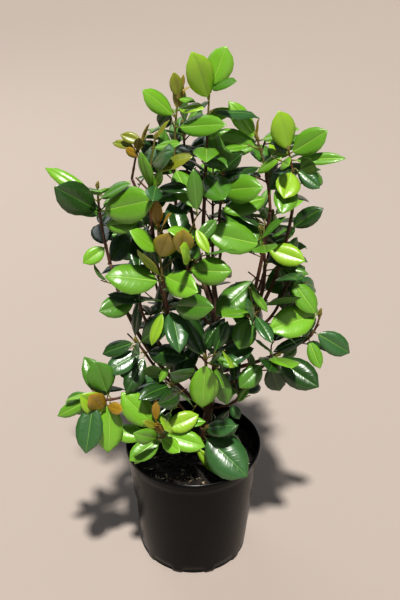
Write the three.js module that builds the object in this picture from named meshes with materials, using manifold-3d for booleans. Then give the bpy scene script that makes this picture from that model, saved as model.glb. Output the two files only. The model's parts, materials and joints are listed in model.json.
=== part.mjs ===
// A young camellia in its nursery pot, in mm with +Z up.
// The origin is the middle of the pot's flat underside. The bush is a trunk and its limbs
// with a shoot on each, and every shoot grows its twigs and leaves by one rule.
import * as THREE from 'three'
import Module from 'manifold-3d'

const wasm = await Module()
wasm.setup()
const { Manifold, Mesh } = wasm
const group = new THREE.Group()
const gap = 0.3

const pot = {
  height: 210, rimRadius: 108, neckRadius: 104.6, baseRadius: 86, baseRound: 5,
  wall: 2, floor: 2.6, bandHeight: 9, segments: 36,
}
const notch = { count: 10, width: 19, height: 4.5, depth: 9 }
const soil = { top: 185.7, flatRadius: 34, ripple: 1.2, ringStep: 22 }
const trunkFlare = { height: 30, spread: 1.8, buried: 12 }
const leafForm = {
  petiole: 8, petioleRadius: 1.1, rootRadius: 0.5, keel: 0.8, fold: 0.14, widthShare: 0.56,
  youngWidthShare: 0.36,
  stations: [0.16, 0.46, 0.78],
}
const bud = { radius: 2, swell: 3, length: 8 }
const rule = {
  goldenTurn: 137.5, turnRoll: 18, openRoll: 10, crowding: 0.75, outwardShare: 0.32, outwardReach: 130,
  twigEvery: 4, twigLastShare: 0.75, twigRadius: 1.3, twigTipRadius: 1.1, twigRootRadius: 0.7,
  stemTipRadius: 1.1,
  youngSize: 0.5, youngOpen: 0.4, endSize: 0.8, tries: 9, swingStep: 20, shownDroop: 0.08,
}
// the room that a leaf or twig keeps from its neighbours
const room = {
  leaf: 4, sibling: 2.2, rim: 1.5, rod: 2.6, rodEdge: 1.2, stalk: 2.2, twig: 2, broad: 12,
  beadStep: 5,
}
const keepOut = { wallRadius: 92, wallTop: 216, soilTop: 196, hangTop: 234 }
const midX = 15
const midY = 5
const lightWay = [0.12, -0.42, 0.9]
const frontWay = [0.05, -0.8, 0.6]

// each limb: where it leaves its parent as a share of that length, its tip, its bow,
// and its radius at both ends
const limbs = {
  trunk: { foot: [8, 8, 186], tip: [36, 2, 380], bow: [5, 0, 0], girth: [7.5, 5.2] },
  leader: { parent: 'trunk', at: 1, tip: [15, 5, 575], bow: [8, -4, 0], girth: [4.2, 3] },
  second: { parent: 'trunk', at: 0.9, tip: [-20, 16, 585], bow: [18, -18, 0], girth: [3.8, 2.7] },
  middle: { parent: 'leader', at: 0.6, tip: [38, 14, 600], bow: [6, 4, 0], girth: [2.4, 2] },
  centre: { parent: 'leader', at: 0.25, tip: [-2, -58, 520], bow: [-2, -12, -6], girth: [2.6, 2.2] },
  left: { parent: 'trunk', at: 0.55, tip: [-27, -35, 430], bow: [-9, -3, -4], girth: [4, 3.2] },
  leftMiddle: { parent: 'left', at: 0.6, tip: [-72, -40, 478], bow: [-4, -3, -8], girth: [2.6, 2.1] },
  leftUpper: { parent: 'left', at: 0.85, tip: [-54, -28, 605], bow: [-6, 12, 0], girth: [2.8, 2.4] },
  leftBack: { parent: 'second', at: 0.7, tip: [-84, 34, 650], bow: [-8, 6, -12], girth: [2.4, 1.9] },
  outer: { parent: 'trunk', at: 0.4, tip: [-115, -20, 545], bow: [-24, 0, -8], girth: [3.4, 2.3] },
  right: { parent: 'trunk', at: 0.98, tip: [96, 5, 461], bow: [6, 0, -8], girth: [4, 3.2] },
  rightInner: { parent: 'right', at: 0.58, tip: [110, 22, 605], bow: [4, 10, -4], girth: [3, 2.3] },
  rightOuter: { parent: 'right', at: 0.74, tip: [138, 0, 610], bow: [5, -13, -10], girth: [2.8, 2.2] },
  arm: { parent: 'trunk', at: 0.8, tip: [165, -25, 418], bow: [0, 0, -8], girth: [3.2, 2.2] },
  rightLow: { parent: 'right', at: 0.5, tip: [128, -22, 492], bow: [8, -4, -8], girth: [2.4, 2] },
  rightFront: { parent: 'trunk', at: 0.7, tip: [105, -48, 390], bow: [0, -4, -10], girth: [2.6, 2.1] },
  rightShort: { parent: 'trunk', at: 0.45, tip: [66, -28, 310], bow: [0, 0, -6], girth: [2.2, 1.9] },
  rightCentre: { parent: 'right', at: 0.3, tip: [82, -48, 450], bow: [0, -6, -8], girth: [2.4, 2] },
  lowLeft: { parent: 'trunk', at: 0.25, tip: [-104, -70, 348], bow: [-6, -4, -4], girth: [2.8, 2] },
  leftLow: { parent: 'trunk', at: 0.5, tip: [-66, -46, 405], bow: [-6, -6, -8], girth: [2.4, 2] },
  centreLow: { parent: 'trunk', at: 0.32, tip: [-22, -56, 330], bow: [0, -8, -8], girth: [2.4, 2] },
  frontLeft: { parent: 'trunk', at: 0.15, tip: [-36, -72, 258], bow: [-4, -6, -6], girth: [2.6, 2.2] },
  frontRight: { parent: 'trunk', at: 0.2, tip: [12, -46, 246], bow: [0, -4, -4], girth: [2.4, 2] },
  frontCentre: { parent: 'trunk', at: 0.65, tip: [20, -62, 398], bow: [0, -8, -8], girth: [2.4, 2] },
  backLeft: { parent: 'trunk', at: 0.6, tip: [-50, 70, 430], bow: [-4, 8, -10], girth: [2.8, 2.2] },
  backMiddle: { parent: 'trunk', at: 0.93, tip: [30, 78, 500], bow: [0, 14, -10], girth: [3, 2.3] },
  backRight: { parent: 'trunk', at: 0.85, tip: [100, 78, 440], bow: [6, 8, -10], girth: [2.8, 2.2] },
  backUpper: { parent: 'leader', at: 0.35, tip: [-2, 62, 590], bow: [-4, 14, -8], girth: [2.8, 2.2] },
  backLow: { parent: 'trunk', at: 0.35, tip: [20, 80, 320], bow: [0, 8, -8], girth: [2.6, 2.1] },
}

// each shoot: its tip, bow, node count, bare share, first turn, leaf angles at foot and tip,
// leaf length, young leaves at its tip, and the leaves that show singly: each one's share
// of the stem and its own tip
const shoots = {
  leader: {
    tip: [23, 0, 790], bow: [0, 2, 0], nodes: 9, bare: 0.1, turn: 60,
    open: [80, 50], size: 75, young: 0,
    shown: [[0.93, [4, -25, 848]], [1, [46, 12, 844]]],
  },
  second: {
    tip: [-18, 15, 775], bow: [-5, 0, 0], nodes: 9, bare: 0.15, turn: 200,
    open: [80, 35], size: 70, young: 2,
    shown: [[0.85, [-62, 0, 792]], [0.78, [44, -25, 752]], [0.48, [2, -40, 642]]],
  },
  middle: {
    tip: [45, 12, 690], bow: [0, 0, 0], nodes: 6, bare: 0.1, turn: 0,
    open: [80, 50], size: 70, young: 0,
  },
  centre: {
    tip: [-10, -82, 612], bow: [0, -3, 0], nodes: 7, bare: 0.15, turn: 90,
    open: [85, 50], size: 72, young: 1,
  },
  left: {
    tip: [-45, -66, 628], bow: [-3, -8, 0], nodes: 11, bare: 0.1, turn: 180,
    open: [85, 45], size: 75, young: 2,
    shown: [[0.55, [-116, -75, 556]], [0.6, [7, -112, 556]]],
  },
  leftMiddle: {
    tip: [-86, -46, 548], bow: [0, 0, 0], nodes: 7, bare: 0.1, turn: 150,
    open: [85, 50], size: 75, young: 0,
    shown: [[0.3, [-128, -75, 498]]],
  },
  leftUpper: {
    tip: [-47, -22, 735], bow: [-6, -4, 0], nodes: 8, bare: 0.2, turn: 20,
    open: [80, 40], size: 66, young: 1,
    shown: [[0.7, [-26, -68, 742]]],
  },
  leftBack: {
    tip: [-74, 30, 702], bow: [0, 0, 0], nodes: 5, bare: 0.3, turn: 150,
    open: [80, 50], size: 59, young: 3,
    shown: [[0.9, [-112, 50, 700]]],
  },
  outer: {
    tip: [-127, -20, 664], bow: [-3, 0, 0], nodes: 8, bare: 0.1, turn: 150,
    open: [80, 45], size: 60, young: 0,
    shown: [[0.8, [-198, 10, 681]], [0.67, [-177, -55, 680]], [0.5, [-75, -40, 618]]],
  },
  right: {
    tip: [93, -34, 606], bow: [8, -6, 0], nodes: 10, bare: 0.1, turn: 30,
    open: [85, 50], size: 77, young: 0,
    shown: [[0.82, [20, -40, 602]], [0.8, [155, -50, 565]]],
  },
  rightInner: {
    tip: [88, 35, 712], bow: [4, 0, 0], nodes: 8, bare: 0.15, turn: 60,
    open: [80, 45], size: 72, young: 1,
    shown: [[0.85, [22, 35, 708]], [0.95, [50, 40, 760]]],
  },
  rightOuter: {
    tip: [129, 5, 708], bow: [5, 0, 0], nodes: 9, bare: 0.15, turn: 40,
    open: [85, 45], size: 70, young: 0,
    shown: [[0.92, [115, 0, 762]], [0.82, [205, -10, 700]], [0.7, [124, -40, 655]]],
  },
  arm: {
    tip: [184, -25, 466], bow: [4, 0, -4], nodes: 4, bare: 0.1, turn: 120,
    open: [85, 60], size: 68, young: 0,
    shown: [[0.4, [232, -30, 400]], [0.24, [118, -44, 412]], [0.97, [108, -60, 462]]],
  },
  rightLow: {
    tip: [142, -22, 530], bow: [0, 0, 0], nodes: 6, bare: 0.1, turn: 60,
    open: [85, 50], size: 70, young: 0,
  },
  rightFront: {
    tip: [124, -52, 412], bow: [0, 0, 0], nodes: 6, bare: 0.1, turn: 0,
    open: [85, 60], size: 75, young: 0,
    shown: [[0.78, [180, -85, 375]]],
  },
  rightShort: {
    tip: [76, -34, 338], bow: [0, 0, 0], nodes: 6, bare: 0.1, turn: 120,
    open: [85, 60], size: 54, young: 0,
  },
  rightCentre: {
    tip: [86, -54, 492], bow: [0, 0, 0], nodes: 6, bare: 0.1, turn: 0,
    open: [85, 60], size: 70, young: 0,
  },
  lowLeft: {
    tip: [-146, -90, 360], bow: [0, 0, -3], nodes: 6, bare: 0.2, turn: 90,
    open: [85, 60], size: 63, young: 2,
    shown: [[1, [-197, -90, 329]], [0.92, [-153, -132, 294]], [0.38, [-123, -98, 266]]],
  },
  leftLow: {
    tip: [-80, -52, 436], bow: [0, 0, 0], nodes: 5, bare: 0.1, turn: 0,
    open: [85, 60], size: 70, young: 0,
    shown: [[0.3, [-126, -72, 398]], [0.16, [-93, -88, 369]]],
  },
  centreLow: {
    tip: [-30, -72, 374], bow: [0, 0, 0], nodes: 6, bare: 0.1, turn: 200,
    open: [85, 60], size: 68, young: 0,
  },
  frontLeft: {
    tip: [-52, -98, 318], bow: [0, 0, 0], nodes: 8, bare: 0.1, turn: 60,
    open: [85, 60], size: 60, young: 2,
    shown: [[0.5, [-92, -115, 265]], [0.62, [18, -100, 280]], [0.85, [-104, -85, 364]]],
  },
  frontRight: {
    tip: [20, -66, 288], bow: [0, 0, 0], nodes: 4, bare: 0.1, turn: 0,
    open: [85, 70], size: 63, young: 0,
    shown: [[0.45, [85, -95, 222]]],
  },
  frontCentre: {
    tip: [18, -92, 436], bow: [0, 0, 0], nodes: 6, bare: 0.1, turn: 0,
    open: [85, 60], size: 72, young: 0,
    shown: [[0.55, [15, -80, 335]]],
  },
  backLeft: {
    tip: [-70, 105, 560], bow: [-6, 6, 0], nodes: 9, bare: 0.1, turn: 0,
    open: [85, 40], size: 70, young: 0,
  },
  backMiddle: {
    tip: [30, 100, 640], bow: [0, 6, 0], nodes: 9, bare: 0.1, turn: 0,
    open: [85, 40], size: 70, young: 0,
  },
  backRight: {
    tip: [120, 105, 560], bow: [6, 4, 0], nodes: 9, bare: 0.1, turn: 0,
    open: [85, 40], size: 70, young: 0,
  },
  backUpper: {
    tip: [-14, 72, 715], bow: [0, 4, 0], nodes: 8, bare: 0.08, turn: 90,
    open: [85, 40], size: 70, young: 0,
  },
  backLow: {
    tip: [10, 130, 400], bow: [0, 0, 0], nodes: 7, bare: 0.1, turn: 0,
    open: [85, 50], size: 70, young: 0,
  },
}

const add = (a, b) => [a[0] + b[0], a[1] + b[1], a[2] + b[2]]
const sub = (a, b) => [a[0] - b[0], a[1] - b[1], a[2] - b[2]]
const mul = (a, s) => [a[0] * s, a[1] * s, a[2] * s]
const dot = (a, b) => a[0] * b[0] + a[1] * b[1] + a[2] * b[2]
const cross = (a, b) => [
  a[1] * b[2] - a[2] * b[1],
  a[2] * b[0] - a[0] * b[2],
  a[0] * b[1] - a[1] * b[0],
]
const length = (a) => Math.sqrt(dot(a, a))
const unit = (a) => {
  const n = length(a)
  return [a[0] / n, a[1] / n, a[2] / n]
}
const radians = (deg) => (deg * Math.PI) / 180
const mix = (a, b, t) => a + (b - a) * t

// a seeded roll, so that the same bush grows each time
function makeDice(seed) {
  const span = 4294967296
  let state = (seed * 2654435761 + 12345) % span
  const roll = (low, high) => {
    state = (state * 1664525 + 1013904223) % span
    return low + ((high - low) * state) / span
  }
  roll(0, 1)
  return roll
}

// a bowed line from start to tip, its middle pushed out by the bow
function bowed(start, tip, bow) {
  return [start, add(mul(add(start, tip), 0.5), mul(bow, 2)), tip]
}
function pointAt(line, t) {
  const [a, b, c] = line
  return add(add(mul(a, (1 - t) ** 2), mul(b, 2 * t * (1 - t))), mul(c, t * t))
}
function wayAt(line, t) {
  const [a, b, c] = line
  return unit(add(mul(sub(b, a), 2 * (1 - t)), mul(sub(c, b), 2 * t)))
}

// a blade is an oval drawn out to a point: its half width as a share of the widest, u from foot to tip
function bladeOutline(u) {
  if (u <= 0 || u >= 1) return 0
  return Math.sin(Math.PI * u ** 0.92) ** 0.72 * (1 - 0.25 * u * u)
}
function bladePoint(leaf, u, v) {
  const w = ((bladeOutline(u) * leaf.wide) / 2) * v
  const h = -leaf.droop * leaf.long * u * u + leafForm.fold * Math.abs(w)
  const p = add(leaf.base, mul(leaf.way, leafForm.petiole + leaf.long * u))
  return add(add(p, mul(leaf.side, w)), mul(leaf.up, h))
}
const sampleU = [0.03, 0.14, 0.26, 0.38, 0.5, 0.62, 0.74, 0.86, 0.97]
const sampleV = [-0.95, -0.5, 0, 0.5, 0.95]
function finishLeaf(leaf) {
  leaf.middle = bladePoint(leaf, 0.5, 0)
  leaf.samples = sampleU.flatMap((u) => sampleV.map((v) => bladePoint(leaf, u, v)))
  leaf.samples.push(add(leaf.base, mul(leaf.way, leafForm.petiole * 0.6)))
  leaf.stalk = [0.4, 0.8, 1.2].map((share) => add(leaf.base, mul(leaf.way, leafForm.petiole * share)))
  return leaf
}

// how far a point lies off the blade's sheet, or null past its rim
function offBlade(leaf, p, edge) {
  const rel = sub(p, leaf.base)
  const x = dot(rel, leaf.way) - leafForm.petiole
  if (x < -2 || x > leaf.long + edge) return null
  const y = Math.abs(dot(rel, leaf.side))
  const u = Math.min(Math.max(x / leaf.long, 0.001), 0.999)
  if (y > (bladeOutline(u) * leaf.wide) / 2 + edge) return null
  return Math.abs(dot(rel, leaf.up) + leaf.droop * leaf.long * u * u - leafForm.fold * y)
}
function bladeMeets(leaf, points, space) {
  return points.some((p) => {
    const off = offBlade(leaf, p, room.rim)
    return off !== null && off < space
  })
}
function leavesTouch(a, b, space) {
  const reach = (a.long + b.long) * 0.6 + room.broad
  if (length(sub(a.middle, b.middle)) > reach) return false
  return bladeMeets(b, a.samples, space) || bladeMeets(a, b.samples, space)
}
function rodBeads(line, r0, r1) {
  const steps = Math.ceil(length(sub(line[2], line[0])) / room.beadStep)
  const beads = []
  for (let i = 0; i <= steps; i++) beads.push([pointAt(line, i / steps), mix(r0, r1, i / steps)])
  return beads
}
function rodTouches(leaf, beads) {
  return beads.some(([p, r]) => {
    if (length(sub(p, leaf.middle)) > leaf.long * 0.75 + room.broad) return false
    const off = offBlade(leaf, p, r + room.rodEdge)
    if (off !== null && off < r + room.rod) return true
    return leaf.stalk.some((q) => length(sub(p, q)) < r + room.stalk)
  })
}
function nearPot(leaf) {
  const lowest = leaf.shown ? keepOut.soilTop : keepOut.hangTop
  return leaf.samples.some((p) => {
    const r = Math.hypot(p[0], p[1])
    return p[2] < lowest || (p[2] < keepOut.wallTop && r > keepOut.wallRadius)
  })
}

function growLimbs() {
  const made = {}
  for (const [name, limb] of Object.entries(limbs)) {
    const start = limb.parent ? pointAt(made[limb.parent].line, limb.at) : limb.foot
    made[name] = { line: bowed(start, limb.tip, limb.bow), girth: limb.girth }
  }
  return made
}

// a leaf whose tip is known: it faces the front and the light
function shownLeaf(line, share, tip) {
  const base = pointAt(line, share)
  const reach = sub(tip, base)
  const straight = unit(reach)
  let up = unit(sub(frontWay, mul(straight, dot(frontWay, straight))))
  const way = unit(add(straight, mul(up, rule.shownDroop)))
  up = unit(sub(up, mul(way, dot(up, way))))
  const long = length(reach) - leafForm.petiole
  return finishLeaf({
    base, way, side: cross(up, way), up, long,
    wide: long * leafForm.widthShare, droop: rule.shownDroop, young: false, shown: true,
  })
}

function growCrown() {
  const made = growLimbs()
  const stems = {}
  const placed = []
  const rods = {}
  for (const [name, limb] of Object.entries(made)) {
    rods['limb ' + name] = rodBeads(limb.line, limb.girth[0], limb.girth[1])
  }
  for (const [name, shoot] of Object.entries(shoots)) {
    const limb = made[name]
    const start = add(limb.line[2], mul(wayAt(limb.line, 1), gap))
    const line = bowed(start, shoot.tip, shoot.bow)
    stems[name] = { line, firstWay: wayAt(limb.line, 1), radius: limb.girth[1], leaves: [], twigs: [] }
    const budWay = wayAt(line, 1)
    rods['stem ' + name] = rodBeads(line, limb.girth[1], rule.stemTipRadius)
    rods['stem ' + name].push(
      [add(line[2], mul(budWay, bud.swell)), bud.radius],
      [add(line[2], mul(budWay, bud.length)), bud.radius / 2],
    )
  }

  function fits(leaf, name) {
    if (nearPot(leaf)) return false
    for (const [key, beads] of Object.entries(rods)) {
      const own = key === 'stem ' + name || key === 'twig ' + name
      if (!own && rodTouches(leaf, beads)) return false
    }
    return !placed.some(([other, owner]) =>
      leavesTouch(leaf, other, owner === name ? room.sibling : room.leaf))
  }
  function keep(leaf, name) {
    placed.push([leaf, name])
    stems[name].leaves.push(leaf)
  }

  for (const [name, shoot] of Object.entries(shoots)) {
    for (const [share, tip] of shoot.shown ?? []) {
      const leaf = shownLeaf(stems[name].line, share, tip)
      if (fits(leaf, name)) keep(leaf, name)
    }
  }

  Object.entries(shoots).forEach(([name, shoot], index) => {
    const roll = makeDice(index + 1)
    const stem = stems[name]
    const outward = [
      (shoot.tip[0] - midX) / rule.outwardReach,
      (shoot.tip[1] - midY) / rule.outwardReach,
      0,
    ]

    // the leaf swings a little further each time until it finds room, or is left out
    function tryLeaf(base, axis, radial, openDeg, size, young) {
      const sag = roll(0.05, 0.35)
      const tilt = radians(roll(-22, 22))
      const long = size * roll(0.82, 1.08)
      const droop = roll(0.04, 0.2)
      const across = cross(axis, radial)
      const open = radians(openDeg)
      for (let k = 0; k < rule.tries; k++) {
        const swing = radians(rule.swingStep * Math.floor((k + 1) / 2) * (k % 2 ? 1 : -1))
        const spoke = add(mul(radial, Math.cos(swing)), mul(across, Math.sin(swing)))
        let way = add(mul(axis, Math.cos(open)), mul(spoke, Math.sin(open)))
        if (!young) way = add(way, mul(outward, rule.outwardShare))
        way = unit(add(way, [0, 0, -sag * (young ? 0.2 : 1)]))
        const facing = sub(mul(axis, Math.sin(open)), mul(spoke, Math.cos(open)))
        let up = add(mul(facing, 0.45), mul(lightWay, young ? 0.2 : 0.55))
        up = unit(sub(up, mul(way, dot(up, way))))
        const side = cross(up, way)
        const leaf = finishLeaf({
          base, way, long, young, shown: false,
          side: sub(mul(side, Math.cos(tilt)), mul(up, Math.sin(tilt))),
          up: add(mul(up, Math.cos(tilt)), mul(side, Math.sin(tilt))),
          wide: long * (young ? leafForm.youngWidthShare : leafForm.widthShare),
          droop: droop * (young ? 0.3 : 1),
        })
        if (fits(leaf, name)) {
          keep(leaf, name)
          return
        }
      }
    }

    for (let i = 0; i < shoot.nodes; i++) {
      const share = (i + 0.5) / shoot.nodes
      const t = shoot.bare + (1 - shoot.bare) * share ** rule.crowding
      const young = i >= shoot.nodes - shoot.young
      const axis = wayAt(stem.line, t)
      const guide = Math.abs(axis[0]) < 0.9 ? [1, 0, 0] : [0, 1, 0]
      const e1 = unit(sub(guide, mul(axis, dot(guide, axis))))
      const e2 = cross(axis, e1)
      const turn = radians(shoot.turn + i * rule.goldenTurn + roll(-rule.turnRoll, rule.turnRoll))
      const radial = add(mul(e1, Math.cos(turn)), mul(e2, Math.sin(turn)))
      const openDeg = mix(shoot.open[0], shoot.open[1], share) + roll(-rule.openRoll, rule.openRoll)
      const base = pointAt(stem.line, t)
      const bearsTwig = i % rule.twigEvery === 1 && !young && share < rule.twigLastShare
      if (!bearsTwig) {
        const last = i === shoot.nodes - 1 && !young
        const size = shoot.size * (young ? rule.youngSize : 1) * (last ? rule.endSize : 1)
        tryLeaf(base, axis, radial, openDeg * (young ? rule.youngOpen : 1), size, young)
        continue
      }
      const twigLong = shoot.size * roll(0.28, 0.45)
      const lean = radians(openDeg * 0.7)
      const rise = add(mul(axis, Math.cos(lean)), mul(radial, Math.sin(lean)))
      const twigWay = unit(add(rise, [0, 0, 0.15]))
      const end = add(base, mul(twigWay, twigLong))
      const hand = roll(0, 1) < 0.5 ? 1 : -1
      const sideways = unit(mul(cross(twigWay, axis), hand))
      const straight = bowed(base, end, [0, 0, 0])
      const beads = rodBeads(straight, rule.twigRadius, rule.twigTipRadius)
      const outer = beads.slice(1)
      const hitsLeaf = placed.some(([leaf]) => rodTouches(leaf, outer))
      const hitsRod = Object.entries(rods).some(([key, others]) =>
        key !== 'stem ' + name && outer.some(([p, r]) =>
          others.some(([q, w]) => length(sub(p, q)) <= r + w + room.twig)))
      if (hitsLeaf || hitsRod) continue
      stem.twigs.push([base, end])
      rods['twig ' + name] = (rods['twig ' + name] ?? []).concat(beads)
      tryLeaf(add(base, mul(twigWay, twigLong * 0.5)), twigWay, sideways, 60, shoot.size * 0.85, false)
      tryLeaf(end, twigWay, mul(sideways, -1), 25, shoot.size * 0.9, false)
    }
  })
  return { made, stems }
}

// joins rings of the same count into one closed solid, its ends capped or drawn to a point
function skin(rings) {
  const points = []
  const faces = []
  const starts = rings.map((ring) => {
    const at = points.length
    points.push(...ring)
    return at
  })
  for (let i = 0; i + 1 < rings.length; i++) {
    const a = starts[i]
    const b = starts[i + 1]
    const n = rings[i].length
    for (let k = 0; k < n; k++) {
      const next = (k + 1) % n
      if (rings[i + 1].length === 1) {
        faces.push([a + k, a + next, b])
        continue
      }
      faces.push([a + k, a + next, b + next], [a + k, b + next, b + k])
    }
  }
  const first = rings[0].length
  for (let k = 1; k + 1 < first; k++) faces.push([0, k + 1, k])
  const last = rings[rings.length - 1].length
  const end = starts[rings.length - 1]
  for (let k = 1; k + 1 < last; k++) faces.push([end, end + k, end + k + 1])
  const solid = new Manifold(new Mesh({
    numProp: 3,
    vertProperties: new Float32Array(points.flat()),
    triVerts: new Uint32Array(faces.flat()),
  }))
  return solid
}

function ringAt(centre, way, radius, sides) {
  const guide = Math.abs(way[0]) < 0.9 ? [1, 0, 0] : [0, 1, 0]
  const e1 = unit(sub(guide, mul(way, dot(guide, way))))
  const e2 = cross(way, e1)
  const ring = []
  for (let k = 0; k < sides; k++) {
    const a = (2 * Math.PI * k) / sides
    ring.push(add(centre, add(mul(e1, radius * Math.cos(a)), mul(e2, radius * Math.sin(a)))))
  }
  return ring
}
// a tube along a bowed line, grown by some room on all sides where it is used to cut
function tube(line, radiusAt, sides, steps, grow = 0, firstWay = null) {
  const rings = []
  for (let i = 0; i <= steps; i++) {
    const way = i === 0 && firstWay ? firstWay : wayAt(line, i / steps)
    const shift = grow * ((i === steps) - (i === 0))
    const centre = add(pointAt(line, i / steps), mul(way, shift))
    rings.push(ringAt(centre, way, radiusAt(i / steps) + grow, sides))
  }
  return skin(rings)
}

// a leaf is a keeled blade on a three-sided stalk: both rims, and the keel under the midrib
function leafSolid(leaf) {
  const section = (x, halfWide, rimLift, keel, drop) => {
    const centre = add(add(leaf.base, mul(leaf.way, x)), mul(leaf.up, drop))
    return [
      add(add(centre, mul(leaf.side, -halfWide)), mul(leaf.up, rimLift)),
      add(centre, mul(leaf.up, -keel)),
      add(add(centre, mul(leaf.side, halfWide)), mul(leaf.up, rimLift)),
    ]
  }
  const r = leafForm.petioleRadius
  const root = leafForm.rootRadius
  const rings = [
    section(0, root, root * 0.5, root, 0),
    section(leafForm.petiole, r * 1.2, r * 0.6, r, 0),
  ]
  for (const u of leafForm.stations) {
    const w = (bladeOutline(u) * leaf.wide) / 2
    const drop = -leaf.droop * leaf.long * u * u
    rings.push(section(leafForm.petiole + leaf.long * u, w, leafForm.fold * w, leafForm.keel, drop))
  }
  rings.push([bladePoint(leaf, 1, 0)])
  return skin(rings)
}

function largest(solid) {
  return solid.decompose().sort((a, b) => b.volume() - a.volume())[0]
}
function addNode(name, solid, color, roughness) {
  const mesh = solid.getMesh()
  const geometry = new THREE.BufferGeometry()
  geometry.setAttribute('position', new THREE.BufferAttribute(mesh.vertProperties, 3))
  geometry.setIndex(new THREE.BufferAttribute(mesh.triVerts, 1))
  geometry.computeVertexNormals()
  const node = new THREE.Mesh(geometry, new THREE.MeshStandardMaterial({ color, roughness }))
  node.name = name
  group.add(node)
}

// the blow-moulded pot: tapered wall, rolled rim, and low feet between the drain notches
function wallRadius(z) {
  return mix(pot.baseRadius, pot.neckRadius, z / (pot.height - pot.bandHeight))
}
function makePot() {
  const bandFoot = pot.height - pot.bandHeight
  const inner = (z) => wallRadius(z) - pot.wall
  const profile = [[0, 0], [pot.baseRadius - pot.baseRound, 0]]
  for (let k = 1; k <= 3; k++) {
    const a = radians(30 * k)
    profile.push([
      pot.baseRadius - pot.baseRound + pot.baseRound * Math.sin(a),
      pot.baseRound * (1 - Math.cos(a)),
    ])
  }
  profile.push(
    [wallRadius(bandFoot), bandFoot], [pot.rimRadius - 0.6, bandFoot + 2],
    [pot.rimRadius, bandFoot + 4.5], [pot.rimRadius - 0.5, pot.height - 1.2],
    [pot.rimRadius - 1.8, pot.height], [pot.neckRadius - 0.6, pot.height],
    [inner(bandFoot), bandFoot], [inner(pot.floor + 3), pot.floor + 3],
    [inner(pot.floor) - 3, pot.floor], [0, pot.floor],
  )
  let body = Manifold.revolve([profile], pot.segments)
  const cut = Manifold.cube([notch.depth * 2, notch.width, notch.height * 2], true)
  for (let i = 0; i < notch.count; i++) {
    const turn = ((i + 0.5) * 360) / notch.count
    body = body.subtract(cut.translate([pot.baseRadius, 0, 0]).rotate([0, 0, turn]))
  }
  addNode('pot', body, 0x1c1c1e, 0.45)
}

// the potting soil: flat where the trunk stands, gently uneven towards the wall
function makeSoil() {
  const clear = pot.wall + gap + 0.5
  const low = pot.floor + gap
  const profile = [
    [0, low], [wallRadius(0) - notch.depth - 3, low],
    [wallRadius(notch.height + 6) - clear - 1, notch.height + 6],
    [wallRadius(soil.top) - clear, soil.top],
  ]
  for (let r = soil.flatRadius + 2 * soil.ringStep; r >= soil.flatRadius; r -= soil.ringStep) {
    profile.push([r, soil.top])
  }
  profile.push([0, soil.top])
  const body = Manifold.revolve([profile], pot.segments).warp((v) => {
    const r = Math.hypot(v[0], v[1])
    if (v[2] < soil.top - 1 || r < soil.flatRadius + 1) return
    const around = Math.atan2(v[1], v[0])
    v[2] += soil.ripple * Math.sin(3 * around + r) - (soil.ripple * (r - soil.flatRadius)) / 30
  })
  addNode('soil', body, 0x2b221c, 0.95)
}

// limbs stand 0.3 mm clear of the limb that bears them and of each other
function makeLimbs(made) {
  const bodies = []
  for (const [name, limb] of Object.entries(made)) {
    const isTrunk = name === 'trunk'
    const [r0, r1] = limb.girth
    const sides = isTrunk ? 12 : r0 > 3.5 ? 6 : 5
    const steps = isTrunk ? 8 : Math.max(3, Math.round(length(sub(limb.line[2], limb.line[0])) / 42))
    const radiusAt = (t) => {
      const above = t * (limb.line[2][2] - limb.line[0][2])
      const swell = isTrunk ? Math.max(0, 1 - above / trunkFlare.height) ** 2 : 0
      return mix(r0, r1, t) * (1 + (trunkFlare.spread - 1) * swell)
    }
    let body = tube(limb.line, radiusAt, sides, steps)
    if (isTrunk) {
      const footRadius = r0 * trunkFlare.spread
      const root = Manifold.cylinder(trunkFlare.buried, footRadius, footRadius, sides)
      body = body.add(root.translate(sub(limb.line[0], [0, 0, trunkFlare.buried])))
      body = body.trimByPlane([0, 0, 1], limb.line[0][2] + 0.2)
    }
    for (const other of bodies) body = body.subtract(other.cutter)
    addNode(isTrunk ? 'trunk' : 'bough-' + name, largest(body), 0x4b2d20, 0.8)
    bodies.push({ cutter: tube(limb.line, radiusAt, sides, steps, gap + 0.05) })
  }
}

// one foliage mass: its stem with a bud, its twigs and its leaves, all one body
function makeMass(name, stem) {
  const radiusAt = (t) => mix(stem.radius, rule.stemTipRadius, t)
  const pieces = [tube(stem.line, radiusAt, 5, 3, 0, stem.firstWay)]
  const tip = pointAt(stem.line, 1)
  const way = wayAt(stem.line, 1)
  pieces.push(skin([
    ringAt(sub(tip, way), way, leafForm.rootRadius, 4),
    ringAt(add(tip, mul(way, bud.swell)), way, bud.radius, 4),
    [add(tip, mul(way, bud.length))],
  ]))
  for (const [base, end] of stem.twigs) {
    const twigRadius = (t) => (t < 0.5 ? rule.twigRootRadius : rule.twigTipRadius)
    pieces.push(tube(bowed(base, end, [0, 0, 0]), twigRadius, 3, 1))
  }
  for (const leaf of stem.leaves) pieces.push(leafSolid(leaf))
  const green = new THREE.Color().setHSL(0.27, 0.5, 0.24 + 0.02 * (name.length % 4))
  addNode('foliage-' + name, largest(Manifold.union(pieces)), green, 0.4)
}

const { made, stems } = growCrown()
makePot()
makeSoil()
makeLimbs(made)
for (const [name, stem] of Object.entries(stems)) makeMass(name, stem)

export default group
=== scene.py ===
# A camellia bush in its nursery pot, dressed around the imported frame.
# The bush is grown here again by the rule that grew its solids, then carried on to finer twigs.
import json
import math

import bmesh
import bpy
import numpy as np
from mathutils import Matrix, Vector, noise

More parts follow.
